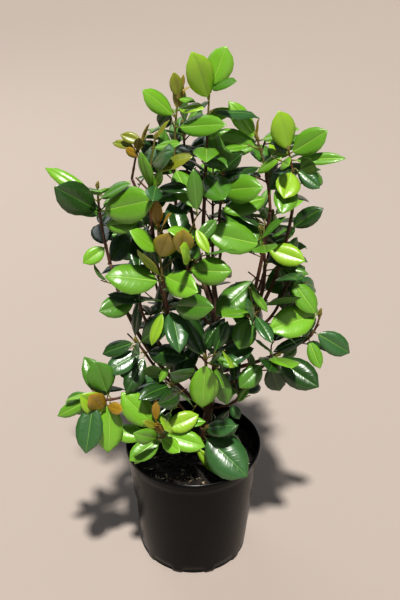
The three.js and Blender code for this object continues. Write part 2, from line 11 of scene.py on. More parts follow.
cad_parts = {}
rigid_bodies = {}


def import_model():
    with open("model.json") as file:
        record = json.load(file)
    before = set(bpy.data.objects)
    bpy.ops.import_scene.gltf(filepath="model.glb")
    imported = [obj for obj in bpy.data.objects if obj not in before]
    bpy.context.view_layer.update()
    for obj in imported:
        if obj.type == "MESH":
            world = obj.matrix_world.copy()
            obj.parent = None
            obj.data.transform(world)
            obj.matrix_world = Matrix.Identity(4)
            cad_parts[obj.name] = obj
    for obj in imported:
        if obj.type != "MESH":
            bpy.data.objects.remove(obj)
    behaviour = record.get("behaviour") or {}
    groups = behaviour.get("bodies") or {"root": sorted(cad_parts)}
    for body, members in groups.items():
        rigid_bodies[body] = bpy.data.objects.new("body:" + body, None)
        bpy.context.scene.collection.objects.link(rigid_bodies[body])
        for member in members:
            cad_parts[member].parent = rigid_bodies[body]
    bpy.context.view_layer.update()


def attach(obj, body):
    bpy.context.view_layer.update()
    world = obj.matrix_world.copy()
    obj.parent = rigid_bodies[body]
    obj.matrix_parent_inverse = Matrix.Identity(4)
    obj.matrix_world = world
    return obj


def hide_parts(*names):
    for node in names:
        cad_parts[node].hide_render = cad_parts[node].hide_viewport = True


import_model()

mm = 0.001                      # the rule grows in millimetres, the scene is in metres

# camera, floor and light
viewpoint = {
    "place": (0.011, -1.246, 1.233),
    "lookDown": 31.4,          # degrees below the horizon
    "lens": 60,
    "sensor": 36,
    "frame": (400, 600),
}
studio = {
    "floorSide": 60.0,
    "floorColor": (0.42, 0.358, 0.318, 1),
    "floorRough": 0.9,
    "skyColor": (0.86, 0.92, 1.0, 1),
    "skyStrength": 0.11,
    "sunWay": (0.05, -0.42, 1.0),        # towards the sun, high and a little in front
    "sunPower": 4.0,
    "sunAngle": 3.5,                     # degrees across, a soft edge to the shadows
    "sunColor": (1.0, 0.975, 0.93),
    "aim": (0.02, 0.0, 0.45),
}
softLamps = {      # place, side in metres, power, color
    "fill": ((1.6, -2.2, 1.3), 1.8, 3, (1, 1, 1)),
    "back": ((-1.1, 1.7, 1.7), 1.8, 11, (0.92, 0.96, 1)),
}


def setCamera():
    camera = bpy.data.objects.new("camera", bpy.data.cameras.new("camera"))
    camera.data.lens = viewpoint["lens"]
    camera.data.sensor_width = viewpoint["sensor"]
    camera.location = viewpoint["place"]
    camera.rotation_euler = (math.radians(90 - viewpoint["lookDown"]), 0, 0)
    bpy.context.scene.collection.objects.link(camera)
    bpy.context.scene.camera = camera


def hangLight(name, kind, place, way, power, color):
    lamp = bpy.data.lights.new(name, kind)
    lamp.energy = power
    lamp.color = color
    holder = bpy.data.objects.new(name, lamp)
    holder.location = place
    holder.rotation_euler = way.to_track_quat("-Z", "Y").to_euler()
    bpy.context.scene.collection.objects.link(holder)
    return lamp


def areaLight(name, place, side, power, color):
    way = Vector(studio["aim"]) - Vector(place)
    lamp = hangLight(name, "AREA", place, way, power, color)
    lamp.shape = "DISK"
    lamp.size = side


def setStudio():
    bm = bmesh.new()
    bmesh.ops.create_grid(bm, x_segments=1, y_segments=1, size=studio["floorSide"] / 2)
    floorMesh = bpy.data.meshes.new("floor")
    bm.to_mesh(floorMesh)
    bm.free()
    floor = bpy.data.objects.new("floor", floorMesh)
    bpy.context.scene.collection.objects.link(floor)
    paint, _, bsdf = newMaterial("paleFloor")
    setInputs(bsdf, {"Base Color": studio["floorColor"], "Roughness": studio["floorRough"]})
    floorMesh.materials.append(paint)
    sunWay = Vector(studio["sunWay"])
    sun = hangLight("sun", "SUN", sunWay * 3, -sunWay, studio["sunPower"], studio["sunColor"])
    sun.angle = math.radians(studio["sunAngle"])
    for name, lamp in softLamps.items():
        areaLight(name, *lamp)
    sky = bpy.data.worlds.new("sky")
    sky.use_nodes = True
    backdrop = sky.node_tree.nodes["Background"]
    setInputs(backdrop, {"Color": studio["skyColor"], "Strength": studio["skyStrength"]})
    bpy.context.scene.world = sky
    bpy.context.scene.view_settings.view_transform = "Standard"
    bpy.context.scene.view_settings.look = "Medium High Contrast"
    print("camera, floor and lights are set")


# shader helpers
def newMaterial(name):
    material = bpy.data.materials.new(name)
    material.use_nodes = True
    tree = material.node_tree
    return material, tree, tree.nodes["Principled BSDF"]


def setInputs(node, values):
    for label, value in values.items():
        node.inputs[label].default_value = value


def addNode(tree, kind, values=None, **settings):
    node = tree.nodes.new(kind)
    for key, value in settings.items():
        setattr(node, key, value)
    setInputs(node, values or {})
    return node


def bumpFrom(tree, height, strength, distance, bsdf):
    bump = addNode(tree, "ShaderNodeBump", {"Strength": strength, "Distance": distance})
    tree.links.new(height, bump.inputs["Height"])
    tree.links.new(bump.outputs[0], bsdf.inputs["Normal"])


def mathNode(tree, operation, first, second=None):
    node = addNode(tree, "ShaderNodeMath", operation=operation)
    for socket, value in zip(node.inputs, (first, second)):
        if value is None:
            continue
        if isinstance(value, (int, float)):
            socket.default_value = value
        else:
            tree.links.new(value, socket)
    return node.outputs[0]


def mapNode(tree, value, low, high, ease="LINEAR"):
    span = {"From Min": low, "From Max": high}
    node = addNode(tree, "ShaderNodeMapRange", span, interpolation_type=ease)
    tree.links.new(value, node.inputs["Value"])
    return node


def newGroup(name, ins, outs):
    group = bpy.data.node_groups.new(name, "ShaderNodeTree")
    for label, kind, value in ins:
        socket = group.interface.new_socket(name=label, in_out="INPUT", socket_type=kind)
        if value is not None:
            socket.default_value = value
    for label, kind in outs:
        group.interface.new_socket(name=label, in_out="OUTPUT", socket_type=kind)
    return group, group.nodes.new("NodeGroupInput"), group.nodes.new("NodeGroupOutput")


def placeGroup(tree, group, values):
    node = addNode(tree, "ShaderNodeGroup", node_tree=group)
    setInputs(node, values)
    return node


def floatSockets(**values):
    return [(label.replace("_", " "), "NodeSocketFloat", value) for label, value in values.items()]


# speckle: soft blotches and fine grain at two sizes, read from the piece's own place in space
def makeSpeckle():
    group, start, end = newGroup(
        "speckle",
        [*floatSockets(Blotch_size=40.0, Grain_size=400.0), ("Stretch", "NodeSocketVector", (1, 1, 1)),
         ("Color A", "NodeSocketColor", (0, 0, 0, 1)), ("Color B", "NodeSocketColor", (1, 1, 1, 1)),
         *floatSockets(Low=0.0, High=1.0)],
        [("Color", "NodeSocketColor"), ("Value", "NodeSocketFloat"), ("Height", "NodeSocketFloat")],
    )
    place = group.nodes.new("ShaderNodeTexCoord")
    stretch = addNode(group, "ShaderNodeVectorMath", operation="MULTIPLY")
    group.links.new(place.outputs["Object"], stretch.inputs[0])
    group.links.new(start.outputs["Stretch"], stretch.inputs[1])
    blotch = addNode(group, "ShaderNodeTexNoise", {"Detail": 4, "Roughness": 0.6})
    grain = addNode(group, "ShaderNodeTexNoise", {"Detail": 3})
    for texture, size in ((blotch, "Blotch size"), (grain, "Grain size")):
        group.links.new(stretch.outputs[0], texture.inputs["Vector"])
        group.links.new(start.outputs[size], texture.inputs["Scale"])
    wide = mapNode(group, blotch.outputs["Fac"], 0.32, 0.68, "SMOOTHSTEP")
    fine = mapNode(group, grain.outputs["Fac"], 0.25, 0.75)
    share = mathNode(group, "ADD", mathNode(group, "MULTIPLY", wide.outputs[0], 0.6),
                     mathNode(group, "MULTIPLY", fine.outputs[0], 0.4))
    blend = addNode(group, "ShaderNodeMix", data_type="RGBA")
    group.links.new(share, blend.inputs["Factor"])
    group.links.new(start.outputs["Color A"], blend.inputs["A"])
    group.links.new(start.outputs["Color B"], blend.inputs["B"])
    spread = mapNode(group, share, 0, 1)
    group.links.new(start.outputs["Low"], spread.inputs["To Min"])
    group.links.new(start.outputs["High"], spread.inputs["To Max"])
    group.links.new(blend.outputs["Result"], end.inputs["Color"])
    group.links.new(spread.outputs[0], end.inputs["Value"])
    group.links.new(share, end.inputs["Height"])
    return group


# leafRelief: side veins that leave the midrib at a slant, with fine netting between them
def makeLeafRelief():
    group, start, end = newGroup(
        "leafRelief",
        [("Map", "NodeSocketVector", (0, 0, 0)),
         *floatSockets(Veins=8.0, Slant=1.3, Netting=0.25, Swell=2.6, Gloss_low=0.2, Gloss_high=0.35)],
        [("Height", "NodeSocketFloat"), ("Roughness", "NodeSocketFloat")],
    )

    def calc(operation, first, second=None):
        return mathNode(group, operation, first, second)

    split = group.nodes.new("ShaderNodeSeparateXYZ")
    group.links.new(start.outputs["Map"], split.inputs[0])
    offRib = calc("ABSOLUTE", calc("SUBTRACT", split.outputs["Y"], 0.5))
    run = calc("MULTIPLY", split.outputs["X"], start.outputs["Veins"])
    lean = calc("MULTIPLY", calc("POWER", offRib, 0.8), start.outputs["Slant"])
    lean = calc("MULTIPLY", lean, 2.2)
    beat = calc("FRACT", calc("SUBTRACT", run, lean))
    away = calc("ABSOLUTE", calc("SUBTRACT", beat, 0.5))   # 0.5 on a vein
    vein = mapNode(group, away, 0.34, 0.5, "SMOOTHSTEP")
    fade = mapNode(group, offRib, 0.46, 0.3, "SMOOTHSTEP")
    groove = calc("MULTIPLY", vein.outputs[0], fade.outputs[0])
    net = addNode(group, "ShaderNodeTexVoronoi", {"Scale": 26}, feature="SMOOTH_F1")
    group.links.new(start.outputs["Map"], net.inputs["Vector"])
    cells = calc("MULTIPLY", net.outputs["Distance"], start.outputs["Netting"])
    place = group.nodes.new("ShaderNodeTexCoord")
    # the blade's soft swell
    wander = addNode(group, "ShaderNodeTexNoise", {"Scale": 95, "Detail": 1})
    group.links.new(place.outputs["Object"], wander.inputs["Vector"])
    uneven = calc("MULTIPLY", wander.outputs["Fac"], start.outputs["Swell"])
    height = calc("SUBTRACT", calc("MULTIPLY", cells, -1.0), groove)
    height = calc("ADD", height, uneven)
    group.links.new(height, end.inputs["Height"])
    mottle = addNode(group, "ShaderNodeTexNoise", {"Scale": 70, "Detail": 3})
    group.links.new(place.outputs["Object"], mottle.inputs["Vector"])
    spread = mapNode(group, mottle.outputs["Fac"], 0.35, 0.65)
    group.links.new(start.outputs["Gloss low"], spread.inputs["To Min"])
    group.links.new(start.outputs["Gloss high"], spread.inputs["To Max"])
    group.links.new(spread.outputs[0], end.inputs["Roughness"])
    return group


speckle = makeSpeckle()
leafRelief = makeLeafRelief()

# tone of each leaf part: color, gloss low and high, relief strength, coat, light through the blade
leafTones = {
    # a dark green that paints shade on the leaves that lie in it
    "leafDeep": ((0.024, 0.072, 0.013, 1), 0.24, 0.34, 0.14, 0.2, 0.04),
    # a bluish green that paints the sky's reflection on glossy leaves
    "leafBlue": ((0.044, 0.130, 0.036, 1), 0.26, 0.36, 0.14, 0.2, 0.06),
    "leafMid": ((0.084, 0.225, 0.022, 1), 0.28, 0.40, 0.14, 0.2, 0.08),
    # the brighter greens are partly the leaves' own and partly painted sun, dealt to leaves in the open
    # and to singles that stand in it
    "leafGrass": ((0.140, 0.335, 0.024, 1), 0.30, 0.42, 0.13, 0.2, 0.10),
    "leafFresh": ((0.195, 0.440, 0.028, 1), 0.30, 0.42, 0.12, 0.2, 0.12),
    "leafLime": ((0.290, 0.500, 0.028, 1), 0.30, 0.42, 0.12, 0.2, 0.14),
    "leafUnder": ((0.105, 0.205, 0.055, 1), 0.42, 0.55, 0.20, 0.0, 0.08),
    "leafUnderFresh": ((0.215, 0.370, 0.050, 1), 0.42, 0.55, 0.18, 0.0, 0.12),
    "leafRib": ((0.150, 0.300, 0.050, 1), 0.30, 0.42, 0.06, 0.15, 0.06),
    "leafRibFresh": ((0.310, 0.520, 0.080, 1), 0.32, 0.42, 0.06, 0.15, 0.08),
    "leafStalk": ((0.170, 0.230, 0.040, 1), 0.38, 0.50, 0.06, 0.10, 0.04),
    "leafBronze": ((0.320, 0.245, 0.028, 1), 0.28, 0.40, 0.14, 0.2, 0.14),
    "leafOlive": ((0.240, 0.265, 0.024, 1), 0.28, 0.40, 0.14, 0.2, 0.14),
    "leafAmber": ((0.370, 0.225, 0.020, 1), 0.26, 0.38, 0.12, 0.25, 0.18),
    "leafBronzeUnder": ((0.260, 0.190, 0.040, 1), 0.38, 0.50, 0.14, 0.05, 0.14),
}


def makeLeafTone(name):
    color, glossLow, glossHigh, relief, coat, through = leafTones[name]
    material, tree, bsdf = newMaterial(name)
    bladeMap = addNode(tree, "ShaderNodeUVMap", uv_map="bladeMap")
    veins = placeGroup(tree, leafRelief, {"Gloss low": glossLow, "Gloss high": glossHigh})
    tree.links.new(bladeMap.outputs[0], veins.inputs["Map"])
    bumpFrom(tree, veins.outputs["Height"], relief, 1.2 * mm, bsdf)
    tree.links.new(veins.outputs["Roughness"], bsdf.inputs["Roughness"])
    setInputs(bsdf, {
        "Base Color": color, "IOR": 1.5, "Specular IOR Level": 0.75, "Coat Weight": coat,
        "Coat Roughness": 0.3, "Subsurface Weight": through, "Subsurface Radius": (0.6, 1.0, 0.2),
        "Subsurface Scale": 1.5 * mm,
    })
    return material


# plain surfaces: two colors, blotch and grain sizes, then stretch, roughness low and high, relief in
# mm, and coat
surfaces = {
    "barkOld": ((0.062, 0.034, 0.022, 1), (0.190, 0.118, 0.078, 1), 90, 700,
                (1, 1, 0.22), 0.62, 0.85, 0.9, 0),
    "barkYoung": ((0.050, 0.018, 0.012, 1), (0.170, 0.074, 0.038, 1), 120, 900,
                  (1, 1, 0.25), 0.5, 0.7, 0.5, 0),
    "stemGreen": ((0.120, 0.075, 0.022, 1), (0.200, 0.190, 0.045, 1), 60, 700,
                  (1, 1, 0.3), 0.4, 0.55, 0.2, 0.05),
    "budScale": ((0.200, 0.210, 0.055, 1), (0.330, 0.220, 0.060, 1), 160, 900,
                 (1, 1, 0.5), 0.3, 0.45, 0.2, 0.2),
    "potPlastic": ((0.0026, 0.0026, 0.0027, 1), (0.0052, 0.0050, 0.0050, 1), 22, 260,
                   (1, 1, 0.5), 0.22, 0.33, 0.04, 0),
    "soilMix": ((0.0025, 0.0020, 0.0018, 1), (0.015, 0.011, 0.008, 1), 120, 900,
                (1, 1, 1), 0.85, 1.0, 1.6, 0),
    "barkChip": ((0.006, 0.0040, 0.003, 1), (0.030, 0.018, 0.011, 1), 180, 900,
                 (1, 1, 1), 0.75, 0.95, 0.8, 0),
    "paleChip": ((0.200, 0.155, 0.095, 1), (0.460, 0.390, 0.270, 1), 200, 900,
                 (1, 1, 1), 0.75, 0.95, 0.6, 0),
    "perlite": ((0.620, 0.600, 0.560, 1), (0.850, 0.840, 0.810, 1), 300, 1500,
                (1, 1, 1), 0.8, 1.0, 0.8, 0),
}
surfaceShine = {"potPlastic": 0.22}     # the level of reflection, where it isn't the common one


def makeSurface(name):
    colorA, colorB, blotch, grain, stretch, roughLow, roughHigh, relief, coat = surfaces[name]
    material, tree, bsdf = newMaterial(name)
    pattern = placeGroup(tree, speckle, {
        "Blotch size": blotch, "Grain size": grain, "Stretch": stretch,
        "Color A": colorA, "Color B": colorB, "Low": roughLow, "High": roughHigh,
    })
    tree.links.new(pattern.outputs["Color"], bsdf.inputs["Base Color"])
    tree.links.new(pattern.outputs["Value"], bsdf.inputs["Roughness"])
    bumpFrom(tree, pattern.outputs["Height"], 0.6, relief * mm, bsdf)
    setInputs(bsdf, {"Coat Weight": coat, "Specular IOR Level": surfaceShine.get(name, 0.5)})
    return material


def dressing(names):
    for name in names:
        if name not in bpy.data.materials:
            maker = makeLeafTone if name in leafTones else makeSurface
            maker(name)
    return [bpy.data.materials[name] for name in names]


# how the bush grows, all in millimetres and by seed
leafForm = {
    "petiole": 8, "fold": 0.14, "widthShare": 0.56, "youngWidthShare": 0.36,
}
bud = {"radius": 2, "swell": 3, "length": 8}
rule = {
    "goldenTurn": 137.5, "turnRoll": 18, "openRoll": 10, "crowding": 0.75, "outwardShare": 0.32,
    "outwardReach": 130, "twigEvery": 4, "twigLastShare": 0.75, "twigRadius": 1.3,
    "twigTipRadius": 1.1, "stemTipRadius": 1.1, "youngSize": 0.5, "youngOpen": 0.4, "endSize": 0.8,
    "tries": 9, "swingStep": 20, "shownDroop": 0.08,
    "twigLong": (0.28, 0.45), "twigLean": 0.7, "twigRise": 0.15, "twigLeafOpen": (60, 25),
    "twigLeafSize": (0.85, 0.9),
}
leafPose = {     # how each leaf of the rule is set
    "sag": (0.05, 0.35), "tilt": (-22, 22), "long": (0.82, 1.08), "droop": (0.04, 0.2),
    "youngSag": 0.2, "youngDroop": 0.3, "faceShare": 0.45, "lightShare": 0.55, "youngLightShare": 0.2,
}
room = {     # what a leaf or twig keeps from its neighbours
    "leaf": 4, "sibling": 2.2, "rim": 1.5, "rod": 2.6, "rodEdge": 1.2, "stalk": 2.2, "twig": 2,
    "broad": 12, "beadStep": 5, "leafReach": 0.6, "rodReach": 0.75,
}
singleForm = {    # how a single leaf keeps to its two pixels
    "youngDroop": 0.02, "stalkInView": 0.4, "stalkBehind": 0.6, "shortest": 8,
}
keepOut = {"wallRadius": 92, "wallTop": 216, "soilTop": 196, "hangTop": 234}
finer = {    # the small side growth that fills each mass in
    "twigRadius": 0.8, "twigTipRadius": 0.6, "size": (0.62, 0.9), "leafRoom": 0.6, "tries": 3,
    "twigLong": (0.22, 0.5), "lean": (40, 62), "turnStep": 67, "turnRoll": 40, "lastShare": 0.9,
    "boughShares": (0.62, 0.88), "boughTwigLong": (14, 34), "boughLean": (50, 80),
    "boughLeafShare": 0.3, "nodeShare": 0.9, "bareShare": 0.5, "clear": 2.5,
    "sideAt": (0.45, 0.6), "sideOpen": 55, "sideSize": 0.9, "endOpen": (15, 40),
}
gap = 0.3                           # between a bough's tip and the stem that goes on from it
crownMiddle = (15, 5)
lightWay = (0.12, -0.42, 0.9)       # which way leaves turn their faces
frontWay = (0.05, -0.8, 0.6)


def boughFrom(parent, at, tip, bow, girth):
    # where it leaves its parent as a share of that length, its tip, its bow, its radius at both ends
    return {"parent": parent, "at": at, "tip": tip, "bow": bow, "girth": girth}


limbs = {
    "trunk": {"foot": (8, 8, 186), "tip": (36, 2, 380), "bow": (5, 0, 0), "girth": (7.5, 5.2)},
    "leader": boughFrom("trunk", 1, (15, 5, 575), (8, -4, 0), (4.2, 3)),
    "second": boughFrom("trunk", 0.9, (-20, 16, 585), (18, -18, 0), (3.8, 2.7)),
    "middle": boughFrom("leader", 0.6, (38, 14, 600), (6, 4, 0), (2.4, 2)),
    "centre": boughFrom("leader", 0.25, (-2, -58, 520), (-2, -12, -6), (2.6, 2.2)),
    "left": boughFrom("trunk", 0.55, (-27, -35, 430), (-9, -3, -4), (4, 3.2)),
    "leftMiddle": boughFrom("left", 0.6, (-72, -40, 478), (-4, -3, -8), (2.6, 2.1)),
    "leftUpper": boughFrom("left", 0.85, (-54, -28, 605), (-6, 12, 0), (2.8, 2.4)),
    "leftBack": boughFrom("second", 0.7, (-84, 34, 650), (-8, 6, -12), (2.4, 1.9)),
    "outer": boughFrom("trunk", 0.4, (-115, -20, 545), (-24, 0, -8), (3.4, 2.3)),
    "right": boughFrom("trunk", 0.98, (96, 5, 461), (6, 0, -8), (4, 3.2)),
    "rightInner": boughFrom("right", 0.58, (110, 22, 605), (4, 10, -4), (3, 2.3)),
    "rightOuter": boughFrom("right", 0.74, (138, 0, 610), (5, -13, -10), (2.8, 2.2)),
    "arm": boughFrom("trunk", 0.8, (165, -25, 418), (0, 0, -8), (3.2, 2.2)),
    "rightLow": boughFrom("right", 0.5, (128, -22, 492), (8, -4, -8), (2.4, 2)),
    "rightFront": boughFrom("trunk", 0.7, (105, -48, 390), (0, -4, -10), (2.6, 2.1)),
    "rightShort": boughFrom("trunk", 0.45, (66, -28, 310), (0, 0, -6), (2.2, 1.9)),
    "rightCentre": boughFrom("right", 0.3, (82, -48, 450), (0, -6, -8), (2.4, 2)),
    "lowLeft": boughFrom("trunk", 0.25, (-104, -70, 348), (-6, -4, -4), (2.8, 2)),
    "leftLow": boughFrom("trunk", 0.5, (-66, -46, 405), (-6, -6, -8), (2.4, 2)),
    "centreLow": boughFrom("trunk", 0.32, (-22, -56, 330), (0, -8, -8), (2.4, 2)),
    "frontLeft": boughFrom("trunk", 0.15, (-36, -72, 258), (-4, -6, -6), (2.6, 2.2)),
    "frontRight": boughFrom("trunk", 0.2, (12, -46, 246), (0, -4, -4), (2.4, 2)),
    "frontCentre": boughFrom("trunk", 0.65, (20, -62, 398), (0, -8, -8), (2.4, 2)),
    "backLeft": boughFrom("trunk", 0.6, (-50, 70, 430), (-4, 8, -10), (2.8, 2.2)),
    "backMiddle": boughFrom("trunk", 0.93, (30, 78, 500), (0, 14, -10), (3, 2.3)),
    "backRight": boughFrom("trunk", 0.85, (100, 78, 440), (6, 8, -10), (2.8, 2.2)),
    "backUpper": boughFrom("leader", 0.35, (-2, 62, 590), (-4, 14, -8), (2.8, 2.2)),
    "backLow": boughFrom("trunk", 0.35, (20, 80, 320), (0, 8, -8), (2.6, 2.1)),
}


def shootTo(tip, nodes, turn, opening, size, bow=(0, 0, 0), bare=0.1, young=0, shown=()):
    # tip, node count, first turn, leaf angles at foot and tip, leaf length, bow, bare share, young
    # leaves at its tip, and the leaves that show singly: the share of the stem, the leaf's own tip,
    # its breadth against a common leaf's, its tone, partly painted light, and which way it faces if it
    # shines
    return {
        "tip": tip, "nodes": nodes, "turn": turn, "open": opening, "size": size, "bow": bow,
        "bare": bare, "young": young, "shown": shown,
    }


shoots = {
    "leader": shootTo((23, 0, 790), 9, 60, (80, 50), 75, bow=(0, 2, 0), shown=[
        (0.93, (4, -25, 848), 1.0, "leafLime"),
        (1, (46, 12, 844), 1.3, "leafFresh", "glare"),
    ]),
    "second": shootTo((-18, 15, 775), 9, 200, (80, 35), 70, bow=(-5, 0, 0), bare=0.15, young=2, shown=[
        (0.85, (-62, 0, 792), 0.95, "leafFresh"),
        (0.78, (44, -25, 752), 0.8, "leafGrass"),
        (0.48, (2, -40, 642), 1.05, "leafGrass"),
    ]),
    "middle": shootTo((45, 12, 690), 6, 0, (80, 50), 70),
    "centre": shootTo((-10, -82, 612), 7, 90, (85, 50), 72, bow=(0, -3, 0), bare=0.15, young=1),
    "left": shootTo((-45, -66, 628), 11, 180, (85, 45), 75, bow=(-3, -8, 0), young=2, shown=[
        (0.55, (-116, -75, 556), 1.15, "leafGrass", "glare"),
        (0.6, (7, -112, 556), 1.15, "leafFresh"),
    ]),
    "leftMiddle": shootTo((-86, -46, 548), 7, 150, (85, 50), 75, shown=[
        (0.3, (-128, -75, 498), 1.15, "leafMid"),
    ]),
    "leftUpper": shootTo((-47, -22, 735), 8, 20, (80, 40), 66, bow=(-6, -4, 0), bare=0.2, young=1,
                         shown=[(0.7, (-26, -68, 742), 1.1, "leafBlue", "glare")]),
    "leftBack": shootTo((-74, 30, 702), 5, 150, (80, 50), 59, bare=0.3, young=3, shown=[
        (0.9, (-112, 50, 700), 0.7, "leafOlive"),
    ]),
    "outer": shootTo((-127, -20, 664), 8, 150, (80, 45), 60, bow=(-3, 0, 0), shown=[
        (0.8, (-198, 10, 681), 0.5, "leafFresh"),
        (0.67, (-177, -55, 680), 1.1, "leafDeep"),
        (0.5, (-75, -40, 618), 1.1, "leafGrass"),
    ]),
    "right": shootTo((93, -34, 606), 10, 30, (85, 50), 77, bow=(8, -6, 0), shown=[
        (0.82, (20, -40, 602), 1.12, "leafGrass"),
        (0.8, (155, -50, 565), 1.1, "leafLime"),
    ]),
    "rightInner": shootTo((88, 35, 712), 8, 60, (80, 45), 72, bow=(4, 0, 0), bare=0.15, young=1, shown=[
        (0.85, (22, 35, 708), 1.12, "leafGrass"),
        (0.95, (50, 40, 760), 0.85, "leafFresh"),
    ]),
    "rightOuter": shootTo((129, 5, 708), 9, 40, (85, 45), 70, bow=(5, 0, 0), bare=0.15, shown=[
        (0.92, (115, 0, 762), 1.2, "leafLime", "glare"),
        (0.82, (205, -10, 700), 0.5, "leafGrass"),
        (0.7, (124, -40, 655), 1.5, "leafLime"),
    ]),
    "arm": shootTo((184, -25, 466), 4, 120, (85, 60), 68, bow=(4, 0, -4), shown=[
        (0.4, (232, -30, 400), 1.1, "leafBlue"),
        (0.24, (118, -44, 412), 0.6, "leafDeep"),
        (0.97, (108, -60, 462), 1.15, "leafFresh"),
    ]),
    "rightLow": shootTo((142, -22, 530), 6, 60, (85, 50), 70),
    "rightFront": shootTo((124, -52, 412), 6, 0, (85, 60), 75, shown=[
        (0.78, (180, -85, 375), 1.2, "leafDeep"),
    ]),
    "rightShort": shootTo((76, -34, 338), 6, 120, (85, 60), 54),
    "rightCentre": shootTo((86, -54, 492), 6, 0, (85, 60), 70),
    "lowLeft": shootTo((-146, -90, 360), 6, 90, (85, 60), 63, bow=(0, 0, -3), bare=0.2, young=2, shown=[
        (1, (-197, -90, 329), 0.75, "leafGrass"),
        (0.92, (-153, -132, 294), 1.05, "leafBlue", "glare"),
        (0.38, (-123, -98, 266), 0.95, "leafFresh", "glare"),
    ]),
    "leftLow": shootTo((-80, -52, 436), 5, 0, (85, 60), 70, shown=[
        (0.3, (-126, -72, 398), 1.1, "leafBlue", "glare"),
        (0.16, (-93, -88, 369), 1.0, "leafDeep"),
    ]),
    "centreLow": shootTo((-30, -72, 374), 6, 200, (85, 60), 68),
    "frontLeft": shootTo((-52, -98, 318), 8, 60, (85, 60), 60, young=2, shown=[
        (0.5, (-92, -115, 265), 1.1, "leafGrass", "glare"),
        (0.62, (18, -100, 280), 1.05, "leafFresh"),
        (0.85, (-104, -85, 364), 1.15, "leafFresh"),
    ]),
    "frontRight": shootTo((20, -66, 288), 4, 0, (85, 70), 63, shown=[
        (0.45, (85, -95, 222), 1.4, "leafBlue", "glare"),
    ]),
    "frontCentre": shootTo((18, -92, 436), 6, 0, (85, 60), 72, shown=[
        (0.55, (15, -80, 335), 1.05, "leafFresh", "glare"),
    ]),
    "backLeft": shootTo((-70, 105, 560), 9, 0, (85, 40), 70, bow=(-6, 6, 0)),
    "backMiddle": shootTo((30, 100, 640), 9, 0, (85, 40), 70, bow=(0, 6, 0)),
    "backRight": shootTo((120, 105, 560), 9, 0, (85, 40), 70, bow=(6, 4, 0)),
    "backUpper": shootTo((-14, 72, 715), 8, 90, (85, 40), 70, bow=(0, 4, 0), bare=0.08),
    "backLow": shootTo((10, 130, 400), 7, 0, (85, 50), 70),
}


def add(a, b):
    return (a[0] + b[0], a[1] + b[1], a[2] + b[2])


def sub(a, b):
    return (a[0] - b[0], a[1] - b[1], a[2] - b[2])


def mul(a, s):
    return (a[0] * s, a[1] * s, a[2] * s)


def dot(a, b):
    return a[0] * b[0] + a[1] * b[1] + a[2] * b[2]


def cross(a, b):
    return (a[1] * b[2] - a[2] * b[1], a[2] * b[0] - a[0] * b[2], a[0] * b[1] - a[1] * b[0])


def length(a):
    return math.sqrt(dot(a, a))


def unit(a):
    n = length(a)
    return (a[0] / n, a[1] / n, a[2] / n)


def mix(a, b, t):
    return a + (b - a) * t


def facedUp(way, facing):
    # the part of a facing that is square to the way
    return unit(sub(facing, mul(way, dot(facing, way))))


def spokes(axis):
    guide = (1, 0, 0) if abs(axis[0]) < 0.9 else (0, 1, 0)
    e1 = facedUp(axis, guide)
    return e1, cross(axis, e1)


def turned(a, b, angle):
    # from a towards b, in radians
    return add(mul(a, math.cos(angle)), mul(b, math.sin(angle)))


def spokeAt(axis, turn):
    # a way square to the axis, at so many degrees round it
    return turned(*spokes(axis), math.radians(turn))


def leanOut(axis, turn, lean):
    # a way that leans off the axis, both angles in degrees
    return unit(turned(axis, spokeAt(axis, turn), math.radians(lean)))


def makeDice(seed):
    # a seeded roll, so that the same bush grows each time
    state = [(seed * 2654435761 + 12345) % 4294967296]

    def roll(low, high):
        state[0] = (state[0] * 1664525 + 1013904223) % 4294967296
        return low + (high - low) * state[0] / 4294967296

    roll(0, 1)
    return roll


def bowed(start, tip, bow):
    return (start, add(mul(add(start, tip), 0.5), mul(bow, 2)), tip)


def pointAt(line, t):
    a, b, c = line
    return add(add(mul(a, (1 - t) ** 2), mul(b, 2 * t * (1 - t))), mul(c, t * t))


def wayAt(line, t):
    a, b, c = line
    return unit(add(mul(sub(b, a), 2 * (1 - t)), mul(sub(c, b), 2 * t)))


def bladeOutline(u):
    if u <= 0 or u >= 1:
        return 0
    return math.sin(math.pi * u ** 0.92) ** 0.72 * (1 - 0.25 * u * u)


def bladePoint(leaf, u, v):
    w = bladeOutline(u) * leaf["wide"] / 2 * v
    h = -leaf["droop"] * leaf["long"] * u * u + leafForm["fold"] * abs(w)
    p = add(leaf["base"], mul(leaf["way"], leafForm["petiole"] + leaf["long"] * u))
    return add(add(p, mul(leaf["side"], w)), mul(leaf["up"], h))


sampleU = (0.03, 0.14, 0.26, 0.38, 0.5, 0.62, 0.74, 0.86, 0.97)
sampleV = (-0.95, -0.5, 0, 0.5, 0.95)


def widthShare(young):
    return leafForm["youngWidthShare" if young else "widthShare"]


def finishLeaf(leaf):
    leaf["middle"] = bladePoint(leaf, 0.5, 0)
    leaf["samples"] = [bladePoint(leaf, u, v) for u in sampleU for v in sampleV]
    leaf["samples"].append(add(leaf["base"], mul(leaf["way"], leafForm["petiole"] * 0.6)))
    leaf["stalk"] = [
        add(leaf["base"], mul(leaf["way"], leafForm["petiole"] * share)) for share in (0.4, 0.8, 1.2)
    ]
    return leaf


def offBlade(leaf, p, edge):
    # how far a point lies off the blade's sheet, or None past its rim
    rel = sub(p, leaf["base"])
    x = dot(rel, leaf["way"]) - leafForm["petiole"]
    if x < -2 or x > leaf["long"] + edge:
        return None
    y = abs(dot(rel, leaf["side"]))
    u = min(max(x / leaf["long"], 0.001), 0.999)
    if y > bladeOutline(u) * leaf["wide"] / 2 + edge:
        return None
    drop = leaf["droop"] * leaf["long"] * u * u
    return abs(dot(rel, leaf["up"]) + drop - leafForm["fold"] * y)


def bladeMeets(leaf, points, space):
    for p in points:
        off = offBlade(leaf, p, room["rim"])
        if off is not None and off < space:
            return True
    return False


